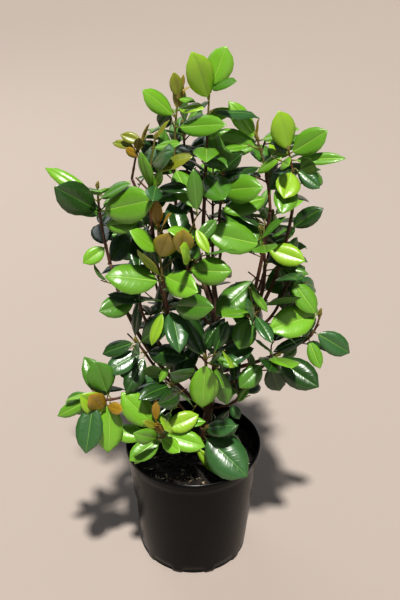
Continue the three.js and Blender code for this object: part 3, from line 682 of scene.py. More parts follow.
def leavesTouch(a, b, space):
    reach = (a["long"] + b["long"]) * room["leafReach"] + room["broad"]
    if length(sub(a["middle"], b["middle"])) > reach:
        return False
    return bladeMeets(b, a["samples"], space) or bladeMeets(a, b["samples"], space)


def rodBeads(line, r0, r1):
    steps = math.ceil(length(sub(line[2], line[0])) / room["beadStep"])
    return [(pointAt(line, i / steps), mix(r0, r1, i / steps)) for i in range(steps + 1)]


def rodTouches(leaf, beads):
    for p, r in beads:
        if length(sub(p, leaf["middle"])) > leaf["long"] * room["rodReach"] + room["broad"]:
            continue
        off = offBlade(leaf, p, r + room["rodEdge"])
        if off is not None and off < r + room["rod"]:
            return True
        if any(length(sub(p, q)) < r + room["stalk"] for q in leaf["stalk"]):
            return True
    return False


def nearPot(leaf):
    lowest = keepOut["soilTop"] if leaf["shown"] else keepOut["hangTop"]
    for p in leaf["samples"]:
        r = math.hypot(p[0], p[1])
        if p[2] < lowest or (p[2] < keepOut["wallTop"] and r > keepOut["wallRadius"]):
            return True
    return False


def growLimbs():
    made = {}
    for name, limb in limbs.items():
        start = pointAt(made[limb["parent"]]["line"], limb["at"]) if "parent" in limb else limb["foot"]
        made[name] = {"line": bowed(start, limb["tip"], limb["bow"]), "girth": limb["girth"]}
    return made


def shownLeaf(line, share, tip):
    # a leaf whose tip is known: it faces the front and the light
    base = pointAt(line, share)
    reach = sub(tip, base)
    straight = unit(reach)
    up = facedUp(straight, frontWay)
    way = unit(add(straight, mul(up, rule["shownDroop"])))
    up = facedUp(way, up)
    long = length(reach) - leafForm["petiole"]
    return finishLeaf({
        "base": base, "way": way, "side": cross(up, way), "up": up, "long": long,
        "wide": long * widthShare(False), "droop": rule["shownDroop"],
        "young": False, "shown": True, "share": share,
    })


# how the view frames the bush: from a place in mm to its pixel and back
eye = mul(viewpoint["place"], 1 / mm)
down = math.radians(viewpoint["lookDown"])
zoom = viewpoint["lens"] / viewpoint["sensor"] * viewpoint["frame"][1]
midAcross, midDown = viewpoint["frame"][0] / 2, viewpoint["frame"][1] / 2


def toPixel(p):
    rel = sub(p, eye)
    ahead = rel[1] * math.cos(down) - rel[2] * math.sin(down)
    rise = rel[1] * math.sin(down) + rel[2] * math.cos(down)
    return midAcross + zoom * rel[0] / ahead, midDown - zoom * rise / ahead


def fromPixel(pixel, deep):
    # the place in mm behind a pixel, at a given Y
    across = (pixel[0] - midAcross) / zoom
    rise = (midDown - pixel[1]) / zoom
    ray = (across, math.cos(down) + rise * math.sin(down), rise * math.cos(down) - math.sin(down))
    return add(eye, mul(ray, (deep - eye[1]) / ray[1]))


def skySpot(pixel, reach):
    return {"pixel": pixel, "reach": reach}


# places where the sky shows: no leaf of the rule may cover them in the view
skySpots = {
    "leftShoulder": skySpot((119, 163), 17),
    "leftShoulderTop": skySpot((128, 116), 20),
    "leftTop": skySpot((146, 80), 14),
    "aboveLeader": skySpot((245, 84), 16),
    "aboveRight": skySpot((304, 114), 13),
    "farRight": skySpot((340, 186), 14),
    "rightWaist": skySpot((329, 235), 19),
    "rightWaistLow": skySpot((327, 272), 16),
    "overArm": skySpot((343, 310), 22),
    "underArm": skySpot((300, 402), 22),
    "byRim": skySpot((262, 408), 12),
    "leftOfOuter": skySpot((66, 222), 16),
    "leftWaist": skySpot((76, 285), 22),
    "leftLowWaist": skySpot((90, 335), 17),
    "overLowLeft": skySpot((66, 372), 14),
    "byOuterStem": skySpot((114, 241), 3),
    "byRightStems": skySpot((243, 262), 9),
    "underRightStems": skySpot((268, 316), 5),
    "betweenStems": skySpot((206, 297), 5),
    "underSecond": skySpot((188, 140), 5),
    "byLeader": skySpot((209, 201), 4),
    "byInner": skySpot((265, 122), 5),
    "lowGap": skySpot((134, 371), 5),
    "centreRight": skySpot((259, 214), 3),
    "overOuterSide": skySpot((84, 228), 9),
    "leftWaistSide": skySpot((97, 302), 10),
    "rightSide": skySpot((323, 200), 10),
    "rightTopSide": skySpot((336, 173), 8),
    "byLeaderLeft": skySpot((196, 92), 6),
    "byLeaderRight": skySpot((225, 100), 9),
    "underSecondRight": skySpot((197, 128), 6),
    "underArch": skySpot((221, 122), 4),
    "lowLeftTop": skySpot((70, 386), 8),
    "overLeftLow": skySpot((118, 330), 9),
    "overRim": skySpot((268, 397), 6),
    "besideSecond": skySpot((148, 117), 8),
    "rightGap": skySpot((298, 229), 4),
    "soilFront": skySpot((172, 461), 8),
    "underFrontLeft": skySpot((150, 473), 8),
    "betweenLowLeaves": skySpot((124, 433), 4),
    "overOuter": skySpot((93, 175), 6),
}
# a leaf has 45 points, in rows of five from its foot: those that are tried against the openings, its
# foot, middle and tip, its two sides, and those along its midrib that should stay in the sun
skySamples = (2, 12, 22, 32, 42, 20, 24, 10, 14, 30, 34, 5, 9, 38)
footPoint, middlePoint, tipPoint = 2, 22, 42
leftPoint, rightPoint = 20, 24
sunPoints = (7, 17, 22, 27, 37)
taking = {     # how much of a single leaf the rule's leaves may take
    "nearPixels": 60, "hiddenPoints": 10, "nearShade": 180, "shadedPoints": 1, "sliver": 12,
    "sideSpan": 1.9, "wide": 1.1, "full": 0.6, "grazing": 0.05, "shadeFrom": 3,
}


def coversSky(leaf):
    for i in skySamples:
        x, y = toPixel(leaf["samples"][i])
        for spot in skySpots.values():
            if math.hypot(x - spot["pixel"][0], y - spot["pixel"][1]) < spot["reach"]:
                return True
    return False


def inView(leaf):
    # the leaf's points as pixels, and how far it lies from the eye
    leaf["view"] = [toPixel(p) for p in leaf["samples"][:-1]]
    leaf["away"] = length(sub(leaf["middle"], eye))
    leaf["hidden"], leaf["shaded"] = set(), set()


def pointsHidden(leaf, single):
    # which points of a single leaf behind it this leaf would hide in the view
    foot, tip, left, right = (leaf["view"][i] for i in (footPoint, tipPoint, leftPoint, rightPoint))
    alongX, alongY = tip[0] - foot[0], tip[1] - foot[1]
    acrossX, acrossY = ((right[k] - left[k]) / taking["sideSpan"] for k in (0, 1))
    area = alongX * acrossY - alongY * acrossX
    if leaf["away"] > single["away"] or abs(area) < taking["sliver"]:
        return set()
    found = set()
    for i, (x, y) in enumerate(single["view"]):
        t = ((x - foot[0]) * acrossY - (y - foot[1]) * acrossX) / area
        s = (alongX * (y - foot[1]) - alongY * (x - foot[0])) / area
        if 0 < t < 1 and abs(s) < taking["wide"] * math.sin(math.pi * t) ** taking["full"]:
            found.add(i)
    return found


litTones = ("leafGrass", "leafFresh", "leafLime", "leafBlue")     # single leaves that stand in the sun


def pointsShaded(leaf, single):
    # which points along a single leaf this leaf would put in its shade
    found = set()
    ray = unit(studio["sunWay"])
    steep = dot(ray, leaf["up"])
    if abs(steep) < taking["grazing"]:
        return found
    for i in sunPoints:
        rel = sub(leaf["middle"], single["samples"][i])
        far = dot(rel, leaf["up"]) / steep
        if far < taking["shadeFrom"]:
            continue
        hit = sub(mul(ray, far), rel)
        x, y = dot(hit, leaf["way"]) / leaf["long"], dot(hit, leaf["side"]) / leaf["wide"]
        if abs(x) < 0.5 and abs(y) < 0.5:
            found.add(i)
    return found


# ways a single leaf's face may look
faces = {
    "front": (0.05, -0.85, 0.53), "sky": (0.0, -0.42, 0.90), "level": (0.0, 0.05, 1.0),
    "left": (-0.55, -0.6, 0.55), "right": (0.55, -0.6, 0.55), "glare": (0.03, -0.68, 0.73),
}


def singleAt(at, foot, tip, deep, broad, face, tone, young=False):
    # a leaf that shows on its own: the share of its stem where it starts, the pixels of its foot and
    # tip, how far behind the stem each lies in mm, its breadth against a common leaf's, and its looks,
    # its tone a painted shade when dark and a painted sun when bright
    return {
        "at": at, "footPixel": foot, "tipPixel": tip, "deep": deep, "broad": broad, "face": face,
        "tone": tone, "young": young,
    }


# each single leaf's tone paints the light it is in: the dark tones paint shade, the bright ones sun
singles = {
    "leader": (
        singleAt(0.97, (211, 89), (236, 80), (0, -25), 1.0, "sky", "leafMid"),
        singleAt(0.62, (213, 112), (261, 115), (0, 30), 0.5, "sky", "leafBlue"),
        singleAt(0.50, (204, 161), (228, 166), (0, -28), 1.2, "sky", "leafMid"),
    ),
    "second": (
        singleAt(1.0, (178, 97), (174, 71), (0, -4), 1.5, "front", "leafOlive", True),
        singleAt(1.0, (179, 96), (184, 72), (0, 4), 0.9, "right", "leafBronze", True),
        singleAt(0.97, (180, 92), (196, 83), (0, 6), 0.5, "sky", "leafBronze", True),
        singleAt(0.85, (170, 112), (158, 128), (4, 14), 1.4, "front", "leafDeep"),
        singleAt(0.90, (179, 110), (204, 108), (0, -20), 1.0, "sky", "leafLime"),
        singleAt(0.98, (179, 99), (198, 102), (0, -10), 0.9, "sky", "leafGrass"),
    ),
    "leftUpper": (
        singleAt(0.98, (155, 140), (169, 118), (0, 0), 0.7, "left", "leafOlive", True),
        singleAt(0.88, (154, 148), (181, 142), (0, -15), 0.9, "sky", "leafGrass"),
        singleAt(0.62, (153, 167), (191, 155), (-4, -38), 0.9, "sky", "leafOlive"),
        singleAt(0.40, (150, 189), (141, 153), (0, -10), 0.8, "left", "leafGrass"),
        singleAt(0.44, (151, 189), (163, 171), (0, -14), 0.8, "glare", "leafFresh"),
    ),
    "leftBack": (
        singleAt(1.0, (140, 143), (150, 122), (0, 0), 0.6, "left", "leafBronze", True),
        singleAt(0.95, (138, 157), (124, 146), (0, -6), 1.6, "front", "leafAmber", True),
        singleAt(1.0, (142, 142), (119, 133), (0, 8), 1.5, "front", "leafOlive", True),
    ),
    "outer": (
        singleAt(0.85, (100, 199), (129, 182), (0, -14), 0.8, "sky", "leafMid"),
        singleAt(0.68, (103, 211), (153, 200), (-4, -40), 1.15, "front", "leafGrass"),
        singleAt(0.25, (105, 247), (83, 265), (0, -15), 1.2, "front", "leafFresh"),
        singleAt(0.05, (110, 262), (137, 231), (22, 34), 1.3, "sky", "leafDeep"),
    ),
    "left": (
        singleAt(0.74, (159, 251), (131, 231), (-2, -14), 1.1, "sky", "leafFresh"),
        singleAt(0.75, (160, 258), (169, 234), (-8, -26), 2.0, "front", "leafBronze", True),
        singleAt(0.60, (160, 276), (138, 250), (-2, -20), 0.6, "left", "leafOlive"),
        singleAt(0.15, (163, 312), (151, 346), (-14, -34), 0.8, "left", "leafLime"),
    ),
    "leftMiddle": (
        singleAt(0.75, (150, 299), (108, 295), (-8, -12), 1.0, "level", "leafDeep"),
    ),
    "centre": (
        singleAt(1.0, (183, 256), (184, 230), (-8, -20), 1.9, "front", "leafBronze", True),
        singleAt(0.95, (196, 229), (208, 255), (-4, -26), 0.8, "front", "leafLime"),
        singleAt(0.98, (196, 238), (167, 229), (4, -6), 1.1, "sky", "leafFresh"),
        singleAt(0.97, (197, 212), (193, 170), (-6, -2), 0.75, "glare", "leafMid"),
        singleAt(0.50, (189, 270), (230, 273), (0, -22), 1.3, "front", "leafGrass"),
    ),
    "middle": (
        singleAt(0.42, (220, 191), (261, 186), (0, -32), 1.2, "front", "leafGrass"),
    ),
    "rightInner": (
        singleAt(0.55, (261, 167), (221, 175), (4, 0), 1.3, "level", "leafDeep"),
        singleAt(0.20, (267, 198), (223, 210), (0, -22), 1.1, "sky", "leafGrass"),
        singleAt(0.60, (256, 173), (280, 156), (0, -22), 0.9, "sky", "leafFresh"),
        singleAt(1.0, (256, 139), (258, 116), (0, 0), 0.5, "left", "leafBronze", True),
        singleAt(0.97, (261, 140), (298, 129), (0, -24), 0.85, "sky", "leafGrass"),
    ),
    "rightOuter": (
        singleAt(0.95, (291, 153), (328, 132), (0, -12), 1.15, "front", "leafGrass"),
        singleAt(0.98, (286, 153), (273, 135), (2, 8), 1.2, "front", "leafDeep"),
        singleAt(0.60, (297, 170), (321, 188), (0, -16), 1.1, "front", "leafBlue"),
        singleAt(0.45, (290, 180), (282, 213), (0, -48), 1.2, "front", "leafGrass"),
        singleAt(0.05, (292, 228), (321, 207), (0, -8), 1.0, "front", "leafDeep"),
    ),
    "right": (
        singleAt(1.0, (261, 239), (285, 216), (0, -6), 0.5, "sky", "leafMid"),
        singleAt(0.70, (269, 262), (300, 263), (6, 12), 1.5, "level", "leafDeep"),
        singleAt(0.50, (284, 269), (310, 274), (0, -6), 0.9, "sky", "leafMid"),
    ),
    "rightLow": (
        singleAt(0.90, (293, 281), (315, 314), (0, -22), 1.15, "glare", "leafGrass"),
        singleAt(0.40, (287, 284), (287, 312), (6, 0), 1.25, "front", "leafDeep"),
    ),
    "rightCentre": (
        singleAt(0.95, (251, 289), (268, 313), (-4, -12), 0.55, "front", "leafGrass"),
        singleAt(0.70, (250, 317), (238, 349), (0, -28), 1.5, "front", "leafMid"),
    ),
    "arm": (
        singleAt(0.15, (309, 340), (320, 369), (0, -20), 0.95, "front", "leafGrass"),
    ),
    "rightFront": (
        singleAt(0.30, (262, 364), (241, 389), (0, -24), 1.3, "front", "leafMid"),
        singleAt(0.40, (270, 366), (279, 392), (0, -4), 1.4, "front", "leafDeep"),
    ),
    "rightShort": (
        singleAt(0.90, (248, 388), (236, 403), (0, -14), 0.9, "front", "leafGrass"),
        singleAt(0.20, (231, 406), (241, 421), (0, -10), 1.3, "front", "leafBlue"),
    ),
    "frontCentre": (
        singleAt(0.40, (216, 368), (227, 405), (10, 0), 0.85, "front", "leafMid"),
        singleAt(0.80, (216, 357), (239, 367), (10, -6), 1.0, "sky", "leafMid"),
    ),
    "centreLow": (
        singleAt(1.0, (168, 367), (158, 384), (0, -10), 0.8, "front", "leafGrass"),
    ),
    "frontRight": (
        singleAt(0.20, (196, 447), (219, 474), (0, -14), 0.7, "left", "leafLime"),
    ),
    "frontLeft": (
        singleAt(0.75, (165, 429), (199, 416), (0, 12), 1.15, "front", "leafLime"),
        singleAt(1.0, (156, 421), (156, 399), (0, 0), 1.0, "front", "leafAmber", True),
        singleAt(0.98, (158, 424), (162, 437), (0, -8), 2.4, "front", "leafAmber", True),
    ),
    "lowLeft": (
        singleAt(0.55, (107, 409), (80, 398), (0, -20), 1.35, "front", "leafLime"),
        singleAt(0.50, (107, 406), (123, 411), (0, -26), 1.6, "front", "leafAmber", True),
        singleAt(0.55, (104, 409), (90, 397), (-8, -32), 1.9, "front", "leafAmber", True),
        singleAt(0.50, (107, 393), (96, 361), (0, 6), 1.5, "front", "leafMid"),
    ),
}


def singleLeaf(line, look):
    young = look["young"]
    stemSpot = pointAt(line, look["at"])
    foot = fromPixel(look["footPixel"], stemSpot[1] + look["deep"][0])
    tip = fromPixel(look["tipPixel"], stemSpot[1] + look["deep"][1])
    reach = sub(tip, foot)
    straight = unit(reach)
    up = facedUp(straight, faces[look["face"]])
    droop = singleForm["youngDroop"] if young else rule["shownDroop"]
    way = unit(add(straight, mul(up, droop)))
    up = facedUp(way, up)
    long = max(length(reach) - leafForm["petiole"] * singleForm["stalkInView"], singleForm["shortest"])
    base = sub(foot, mul(way, leafForm["petiole"] * singleForm["stalkBehind"]))
    leaf = finishLeaf({
        "base": base, "way": way, "side": cross(up, way), "up": up, "long": long,
        "wide": long * widthShare(young) * look["broad"], "droop": droop, "young": young,
        "shown": True, "share": look["at"], "tone": look["tone"], "exact": True,
        "calm": look["face"] == "glare",
    })
    return leaf, stemSpot


farFoot = 4      # mm past which a single leaf's foot has a fine twig of its own
seeds = {"shoots": 1, "finer": 101, "boughs": 201}


class Crown:
    # everything that has grown so far, and the room that is left
    def __init__(self):
        self.limbs = growLimbs()
        self.stems = {}
        self.placed = []
        self.singles = []
        self.rods = {}
        for name, limb in self.limbs.items():
            self.rods["limb " + name] = rodBeads(limb["line"], *limb["girth"])
        for name, shoot in shoots.items():
            limb = self.limbs[name]
            start = add(limb["line"][2], mul(wayAt(limb["line"], 1), gap))
            line = bowed(start, shoot["tip"], shoot["bow"])
            self.stems[name] = {
                "line": line, "radius": limb["girth"][1], "leaves": [], "twigs": [], "fineTwigs": [],
            }
            budWay = wayAt(line, 1)
            beads = rodBeads(line, limb["girth"][1], rule["stemTipRadius"])
            beads.append((add(line[2], mul(budWay, bud["swell"])), bud["radius"]))
            beads.append((add(line[2], mul(budWay, bud["length"])), bud["radius"] / 2))
            self.rods["stem " + name] = beads

    def hidesSingle(self, leaf):
        # true where a leaf of the rule would leave too little of a single leaf in view
        inView(leaf)
        x, y = leaf["view"][middlePoint]
        leaf["covers"], leaf["shades"] = [], []
        for single in self.singles:
            gapX, gapY = (single["middle"][k] - leaf["middle"][k] for k in (0, 1))
            if single["tone"] in litTones and math.hypot(gapX, gapY) < taking["nearShade"]:
                shaded = pointsShaded(leaf, single) - single["shaded"]
                if shaded and len(shaded) + len(single["shaded"]) > taking["shadedPoints"]:
                    return True
                leaf["shades"].append((single, shaded))
            singleX, singleY = single["view"][middlePoint]
            if max(abs(singleX - x), abs(singleY - y)) > taking["nearPixels"]:
                continue
            found = pointsHidden(leaf, single) - single["hidden"]
            if found and len(found) + len(single["hidden"]) > taking["hiddenPoints"]:
                return True
            leaf["covers"].append((single, found))
        return False

    def fits(self, leaf, name, share=1.0):
        if nearPot(leaf) or (not leaf["shown"] and coversSky(leaf)):
            return False
        for key, beads in self.rods.items():
            own = key in ("stem " + name, "twig " + name)
            if not own and rodTouches(leaf, beads):
                return False
        for other, owner in self.placed:
            if leavesTouch(leaf, other, share * (room["sibling"] if owner == name else room["leaf"])):
                return False
        return leaf["shown"] or not self.hidesSingle(leaf)

    def keep(self, leaf, name):
        self.placed.append((leaf, name))
        self.stems[name]["leaves"].append(leaf)
        for single, found in leaf.get("covers", ()):
            single["hidden"] |= found
        for single, shaded in leaf.get("shades", ()):
            single["shaded"] |= shaded

    def tryLeaf(self, roll, name, base, axis, radial, openDeg, size, young, share, spaceShare=1.0):
        # the leaf swings a little further each time until it finds room, or is left out
        shoot = shoots[name]
        outward = (
            (shoot["tip"][0] - crownMiddle[0]) / rule["outwardReach"],
            (shoot["tip"][1] - crownMiddle[1]) / rule["outwardReach"],
            0,
        )
        sag = roll(*leafPose["sag"]) * (leafPose["youngSag"] if young else 1)
        tilt = math.radians(roll(*leafPose["tilt"]))
        long = size * roll(*leafPose["long"])
        droop = roll(*leafPose["droop"]) * (leafPose["youngDroop"] if young else 1)
        toLight = leafPose["youngLightShare" if young else "lightShare"]
        across = cross(axis, radial)
        opening = math.radians(openDeg)
        for k in range(rule["tries"]):
            swing = math.radians(rule["swingStep"] * ((k + 1) // 2) * (1 if k % 2 else -1))
            spoke = turned(radial, across, swing)
            way = turned(axis, spoke, opening)
            if not young:
                way = add(way, mul(outward, rule["outwardShare"]))
            way = unit(add(way, (0, 0, -sag)))
            facing = sub(mul(axis, math.sin(opening)), mul(spoke, math.cos(opening)))
            up = facedUp(way, add(mul(facing, leafPose["faceShare"]), mul(lightWay, toLight)))
            side = cross(up, way)
            leaf = finishLeaf({
                "base": base, "way": way, "long": long, "young": young, "shown": False,
                "side": sub(mul(side, math.cos(tilt)), mul(up, math.sin(tilt))),
                "up": turned(up, side, tilt),
                "wide": long * widthShare(young), "droop": droop, "share": share,
            })
            if self.fits(leaf, name, spaceShare):
                self.keep(leaf, name)
                return True
        return False

    def twigClear(self, name, line, r0, r1, share=1.0):
        outer = rodBeads(line, r0, r1)[1:]
        if any(rodTouches(leaf, outer) for leaf, owner in self.placed):
            return False
        for key, beads in self.rods.items():
            if key == "stem " + name:
                continue
            for p, r in outer:
                if any(length(sub(p, q)) <= r + w + room["twig"] * share for q, w in beads):
                    return False
        return True

    def addTwig(self, kind, name, base, end, line, r0, r1):
        self.stems[name][kind].append((base, end))
        self.rods.setdefault("twig " + name, []).extend(rodBeads(line, r0, r1))

    def growShoot(self, name, seed):
        shoot = shoots[name]
        stem = self.stems[name]
        roll = makeDice(seed)
        for i in range(shoot["nodes"]):
            share = (i + 0.5) / shoot["nodes"]
            t = shoot["bare"] + (1 - shoot["bare"]) * share ** rule["crowding"]
            young = i >= shoot["nodes"] - shoot["young"]
            axis = wayAt(stem["line"], t)
            turn = shoot["turn"] + i * rule["goldenTurn"] + roll(-rule["turnRoll"], rule["turnRoll"])
            radial = spokeAt(axis, turn)
            openDeg = mix(shoot["open"][0], shoot["open"][1], share)
            openDeg += roll(-rule["openRoll"], rule["openRoll"])
            base = pointAt(stem["line"], t)
            bearsTwig = i % rule["twigEvery"] == 1 and not young and share < rule["twigLastShare"]
            if not bearsTwig:
                last = i == shoot["nodes"] - 1 and not young
                size = shoot["size"] * (rule["youngSize"] if young else 1)
                size *= rule["endSize"] if last else 1
                opening = openDeg * (rule["youngOpen"] if young else 1)
                self.tryLeaf(roll, name, base, axis, radial, opening, size, young, t)
                continue
            twigLong = shoot["size"] * roll(*rule["twigLong"])
            rise = turned(axis, radial, math.radians(openDeg * rule["twigLean"]))
            twigWay = unit(add(rise, (0, 0, rule["twigRise"])))
            end = add(base, mul(twigWay, twigLong))
            hand = 1 if roll(0, 1) < 0.5 else -1
            sideways = unit(mul(cross(twigWay, axis), hand))
            line = bowed(base, end, (0, 0, 0))
            if not self.twigClear(name, line, rule["twigRadius"], rule["twigTipRadius"]):
                continue
            self.addTwig("twigs", name, base, end, line, rule["twigRadius"], rule["twigTipRadius"])
            halfway = add(base, mul(twigWay, twigLong * 0.5))
            for k, (spot, hand) in enumerate(((halfway, 1), (end, -1))):
                opening, size = rule["twigLeafOpen"][k], shoot["size"] * rule["twigLeafSize"][k]
                self.tryLeaf(roll, name, spot, twigWay, mul(sideways, hand), opening, size, False, t)

    def growFiner(self, name, seed):
        # fine twigs from the nodes between, each with one or two smaller leaves
        shoot = shoots[name]
        stem = self.stems[name]
        roll = makeDice(seed)
        for i in range(1, shoot["nodes"] - shoot["young"], 2):
            share = (i + finer["nodeShare"]) / shoot["nodes"]
            bare = shoot["bare"] * finer["bareShare"]
            t = bare + (1 - bare) * share ** rule["crowding"]
            if t > finer["lastShare"]:
                continue
            axis = wayAt(stem["line"], t)
            for attempt in range(finer["tries"]):
                turn = shoot["turn"] + 180 + i * rule["goldenTurn"] + finer["turnStep"] * attempt
                turn += roll(-finer["turnRoll"], finer["turnRoll"])
                way = leanOut(axis, turn, roll(*finer["lean"]))
                long = shoot["size"] * roll(*finer["twigLong"])
                if self.fineTwig(roll, name, pointAt(stem["line"], t), axis, way, long, t):
                    break

    def growOnBough(self, name, seed):
        # short side twigs on the leafy half of a bough
        limb = self.limbs[name]
        roll = makeDice(seed)
        for t in finer["boughShares"]:
            axis = wayAt(limb["line"], t)
            thick = mix(limb["girth"][0], limb["girth"][1], t)
            for attempt in range(finer["tries"]):
                way = leanOut(axis, roll(0, 90) + 90 * attempt, roll(*finer["boughLean"]))
                base = add(pointAt(limb["line"], t), mul(way, thick * 0.6))
                long, share = roll(*finer["boughTwigLong"]), finer["boughLeafShare"]
                if self.fineTwig(roll, name, base, axis, way, long, share, thick * 0.8):
                    break

    def fineTwig(self, roll, name, base, axis, way, long, share, thick=1.5):
        stem = self.stems[name]
        end = add(base, mul(way, long))
        line = bowed(add(base, mul(way, thick + finer["clear"])), end, (0, 0, 0))
        r0, r1 = finer["twigRadius"], finer["twigTipRadius"]
        if end[2] < keepOut["hangTop"] or not self.twigClear(name, line, r0, r1):
            return False
        before = len(stem["leaves"])
        sideways = unit(cross(way, axis))
        size = shoots[name]["size"] * roll(*finer["size"])
        halfway = add(base, mul(way, long * roll(*finer["sideAt"])))
        opening, tight = roll(*finer["endOpen"]), finer["leafRoom"]
        self.tryLeaf(roll, name, end, way, sideways, opening, size, False, share, tight)
        opening, size, sideways = finer["sideOpen"], size * finer["sideSize"], mul(sideways, -1)
        self.tryLeaf(roll, name, halfway, way, sideways, opening, size, False, share, tight)
        if len(stem["leaves"]) == before:
            return False
        self.addTwig("fineTwigs", name, base, end, line, r0, r1)
        return True

    def keepSingle(self, leaf, name):
        self.keep(leaf, name)
        self.singles.append(leaf)
        inView(leaf)

    def growSingles(self):
        # the leaves that show on their own come first, and the rule's leaves give way to them
        for name, shoot in shoots.items():
            for share, tip, broad, tone, *face in shoot["shown"]:
                leaf = shownLeaf(self.stems[name]["line"], share, tip)
                if not self.fits(leaf, name):
                    continue
                leaf.update({"wide": leaf["wide"] * broad, "tone": tone, "exact": True})
                if face:
                    leaf["up"] = facedUp(leaf["way"], faces[face[0]])
                    leaf["side"] = cross(leaf["up"], leaf["way"])
                    leaf["calm"] = True
                self.keepSingle(finishLeaf(leaf), name)
        for name, looks in singles.items():
            for look in looks:
                leaf, stemSpot = singleLeaf(self.stems[name]["line"], look)
                self.keepSingle(leaf, name)
                if length(sub(leaf["base"], stemSpot)) > farFoot:
                    self.stems[name]["fineTwigs"].append((stemSpot, leaf["base"]))
        print("single leaves:", len(self.singles))

    def grow(self):
        self.growSingles()
        for index, name in enumerate(shoots):
            self.growShoot(name, seeds["shoots"] + index)
        print("with the leaves of the shoots:", len(self.placed))
        for index, name in enumerate(shoots):
            self.growFiner(name, seeds["finer"] + index)
            self.growOnBough(name, seeds["boughs"] + index)
        print("with those on finer twigs:", len(self.placed))


# joined meshes: one small form from bmesh, repeated as arrays
class Joined:
    # gathers many copies of small forms into one mesh
    def __init__(self, name, materials, uvName=None):
        self.name = name
        self.materials = materials
        self.uvName = uvName
        self.points = []
        self.faces = []
        self.tones = []
        self.smooth = []
        self.maps = []
        self.count = 0

    def put(self, points, faces, tones, smooth=True, uv=None):
        self.points.append(points)
        self.faces.extend([[i + self.count for i in face] for face in faces])
        self.tones.extend(tones if isinstance(tones, list) else [tones] * len(faces))
        self.smooth.extend(smooth if isinstance(smooth, list) else [smooth] * len(faces))
        if uv is not None:
            self.maps.append(uv)
        self.count += len(points)

    def finish(self, slot, *nodes):
        mesh = bpy.data.meshes.new(self.name)
        mesh.from_pydata((np.concatenate(self.points) * mm).tolist(), [], self.faces)
        for material in self.materials:
            mesh.materials.append(material)
        mesh.polygons.foreach_set("material_index", self.tones)
        mesh.polygons.foreach_set("use_smooth", self.smooth)
        if self.uvName:
            corner = np.zeros(len(mesh.loops), dtype=np.int32)
            mesh.loops.foreach_get("vertex_index", corner)
            layer = mesh.uv_layers.new(name=self.uvName)
            layer.data.foreach_set("uv", np.concatenate(self.maps)[corner].ravel())
        mesh.update()
        placePiece(self.name, mesh, slot, *nodes)


def placePiece(name, mesh, slot, *nodes):
    piece = bpy.data.objects.new(name, mesh)
    bpy.context.scene.collection.objects.link(piece)
    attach(piece, "root")
    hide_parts(*nodes)
    mesh.calc_loop_triangles()
    print("piece", name, "has", len(mesh.loop_triangles), "triangles")


def formArrays(bm):
    # the points and faces of a small bmesh form, as arrays
    bm.verts.index_update()
    points = np.array([v.co[:] for v in bm.verts])
    faces = [[v.index for v in f.verts] for f in bm.faces]
    bm.free()
    return points, faces


def smoothStep(low, high, x):
    t = np.clip((x - low) / (high - low), 0, 1)
    return t * t * (3 - 2 * t)


# leaves: a flat sheet with thickness gives the points that every leaf bends to its own shape
leafSheet = {
    "columns": 6,               # faces across, half on each side of the midrib
    "rows": 9,
    "stalkRows": 1,
    "acrossShares": (0, 0, 0.58, 1),    # from the midrib out, the second is the rib's edge
    "endShares": (0.8, 0.3),            # mm, half width at the blade's foot and at its tip
    "stalkRadius": 0.95,        # mm
    "ribEdge": (0.7, 0.28),     # mm, at the foot and the tip of the blade
    "ribGroove": 0.35,
    "bladeThickness": 0.42,
    "rimThickness": 0.2,
    "ribThickness": (1.5, 0.5),
    "broad": (0.9, 1.08),       # against the solids' blades
    "youngBroad": 1.4,
    "singleBroad": 0.96,
    "fullness": 0.62,           # below the solids' figure, so the blade is fuller near its ends
    "tipStart": 0.9,            # where the blade draws in to its short tip
    "tipDraw": 1.4,
    "rowCrowding": 0.7,         # how much closer the rows stand at both ends
    "shortLeaf": 45,            # mm, below which a leaf has a finer stalk
    "shortStalk": 0.7,
    "stalkDrop": 0.3,           # how far the stalk lies under the blade's face
}


def makeSheet():
    columns, rows = leafSheet["columns"], leafSheet["rows"]
    bm = bmesh.new()
    bmesh.ops.create_grid(bm, x_segments=columns, y_segments=rows, size=1)
    bmesh.ops.solidify(bm, geom=bm.faces[:], thickness=0.2)
    bmesh.ops.recalc_face_normals(bm, faces=bm.faces[:])
    points, faces = formArrays(bm)
    column = np.rint((points[:, 0] + 1) / 2 * columns).astype(int) - columns // 2
    row = np.rint((points[:, 1] + 1) / 2 * rows).astype(int)
    isTop = points[:, 2] > points[:, 2].mean()
    faces = [list(reversed(face)) for face in faces] if upsideDown(points, faces, isTop) else faces
    kinds = []
    for face in faces:
        layers = {bool(isTop[i]) for i in face}
        low, high = min(column[i] for i in face), max(column[i] for i in face)
        if max(row[i] for i in face) <= leafSheet["stalkRows"]:
            kinds.append("stalk")
        elif len(layers) == 2:
            kinds.append("rim")
        elif layers == {True}:
            kinds.append("rib" if low >= -1 and high <= 1 else "top")
        else:
            kinds.append("under")
    return {"column": column, "row": row, "top": isTop, "faces": faces, "kinds": kinds}


def upsideDown(points, faces, isTop):
    # true where the sheet's upper faces look down
    for face in faces:
        if all(isTop[i] for i in face):
            a, b, c = (Vector(points[i]) for i in face[:3])
            return (b - a).cross(c - a).z < 0
    return False


def roundOutline(u):
    # the blade's half width as a share
    return np.sin(math.pi * np.clip(u, 1e-4, 0.9999)) ** leafSheet["fullness"]


fullTurn = 6.28
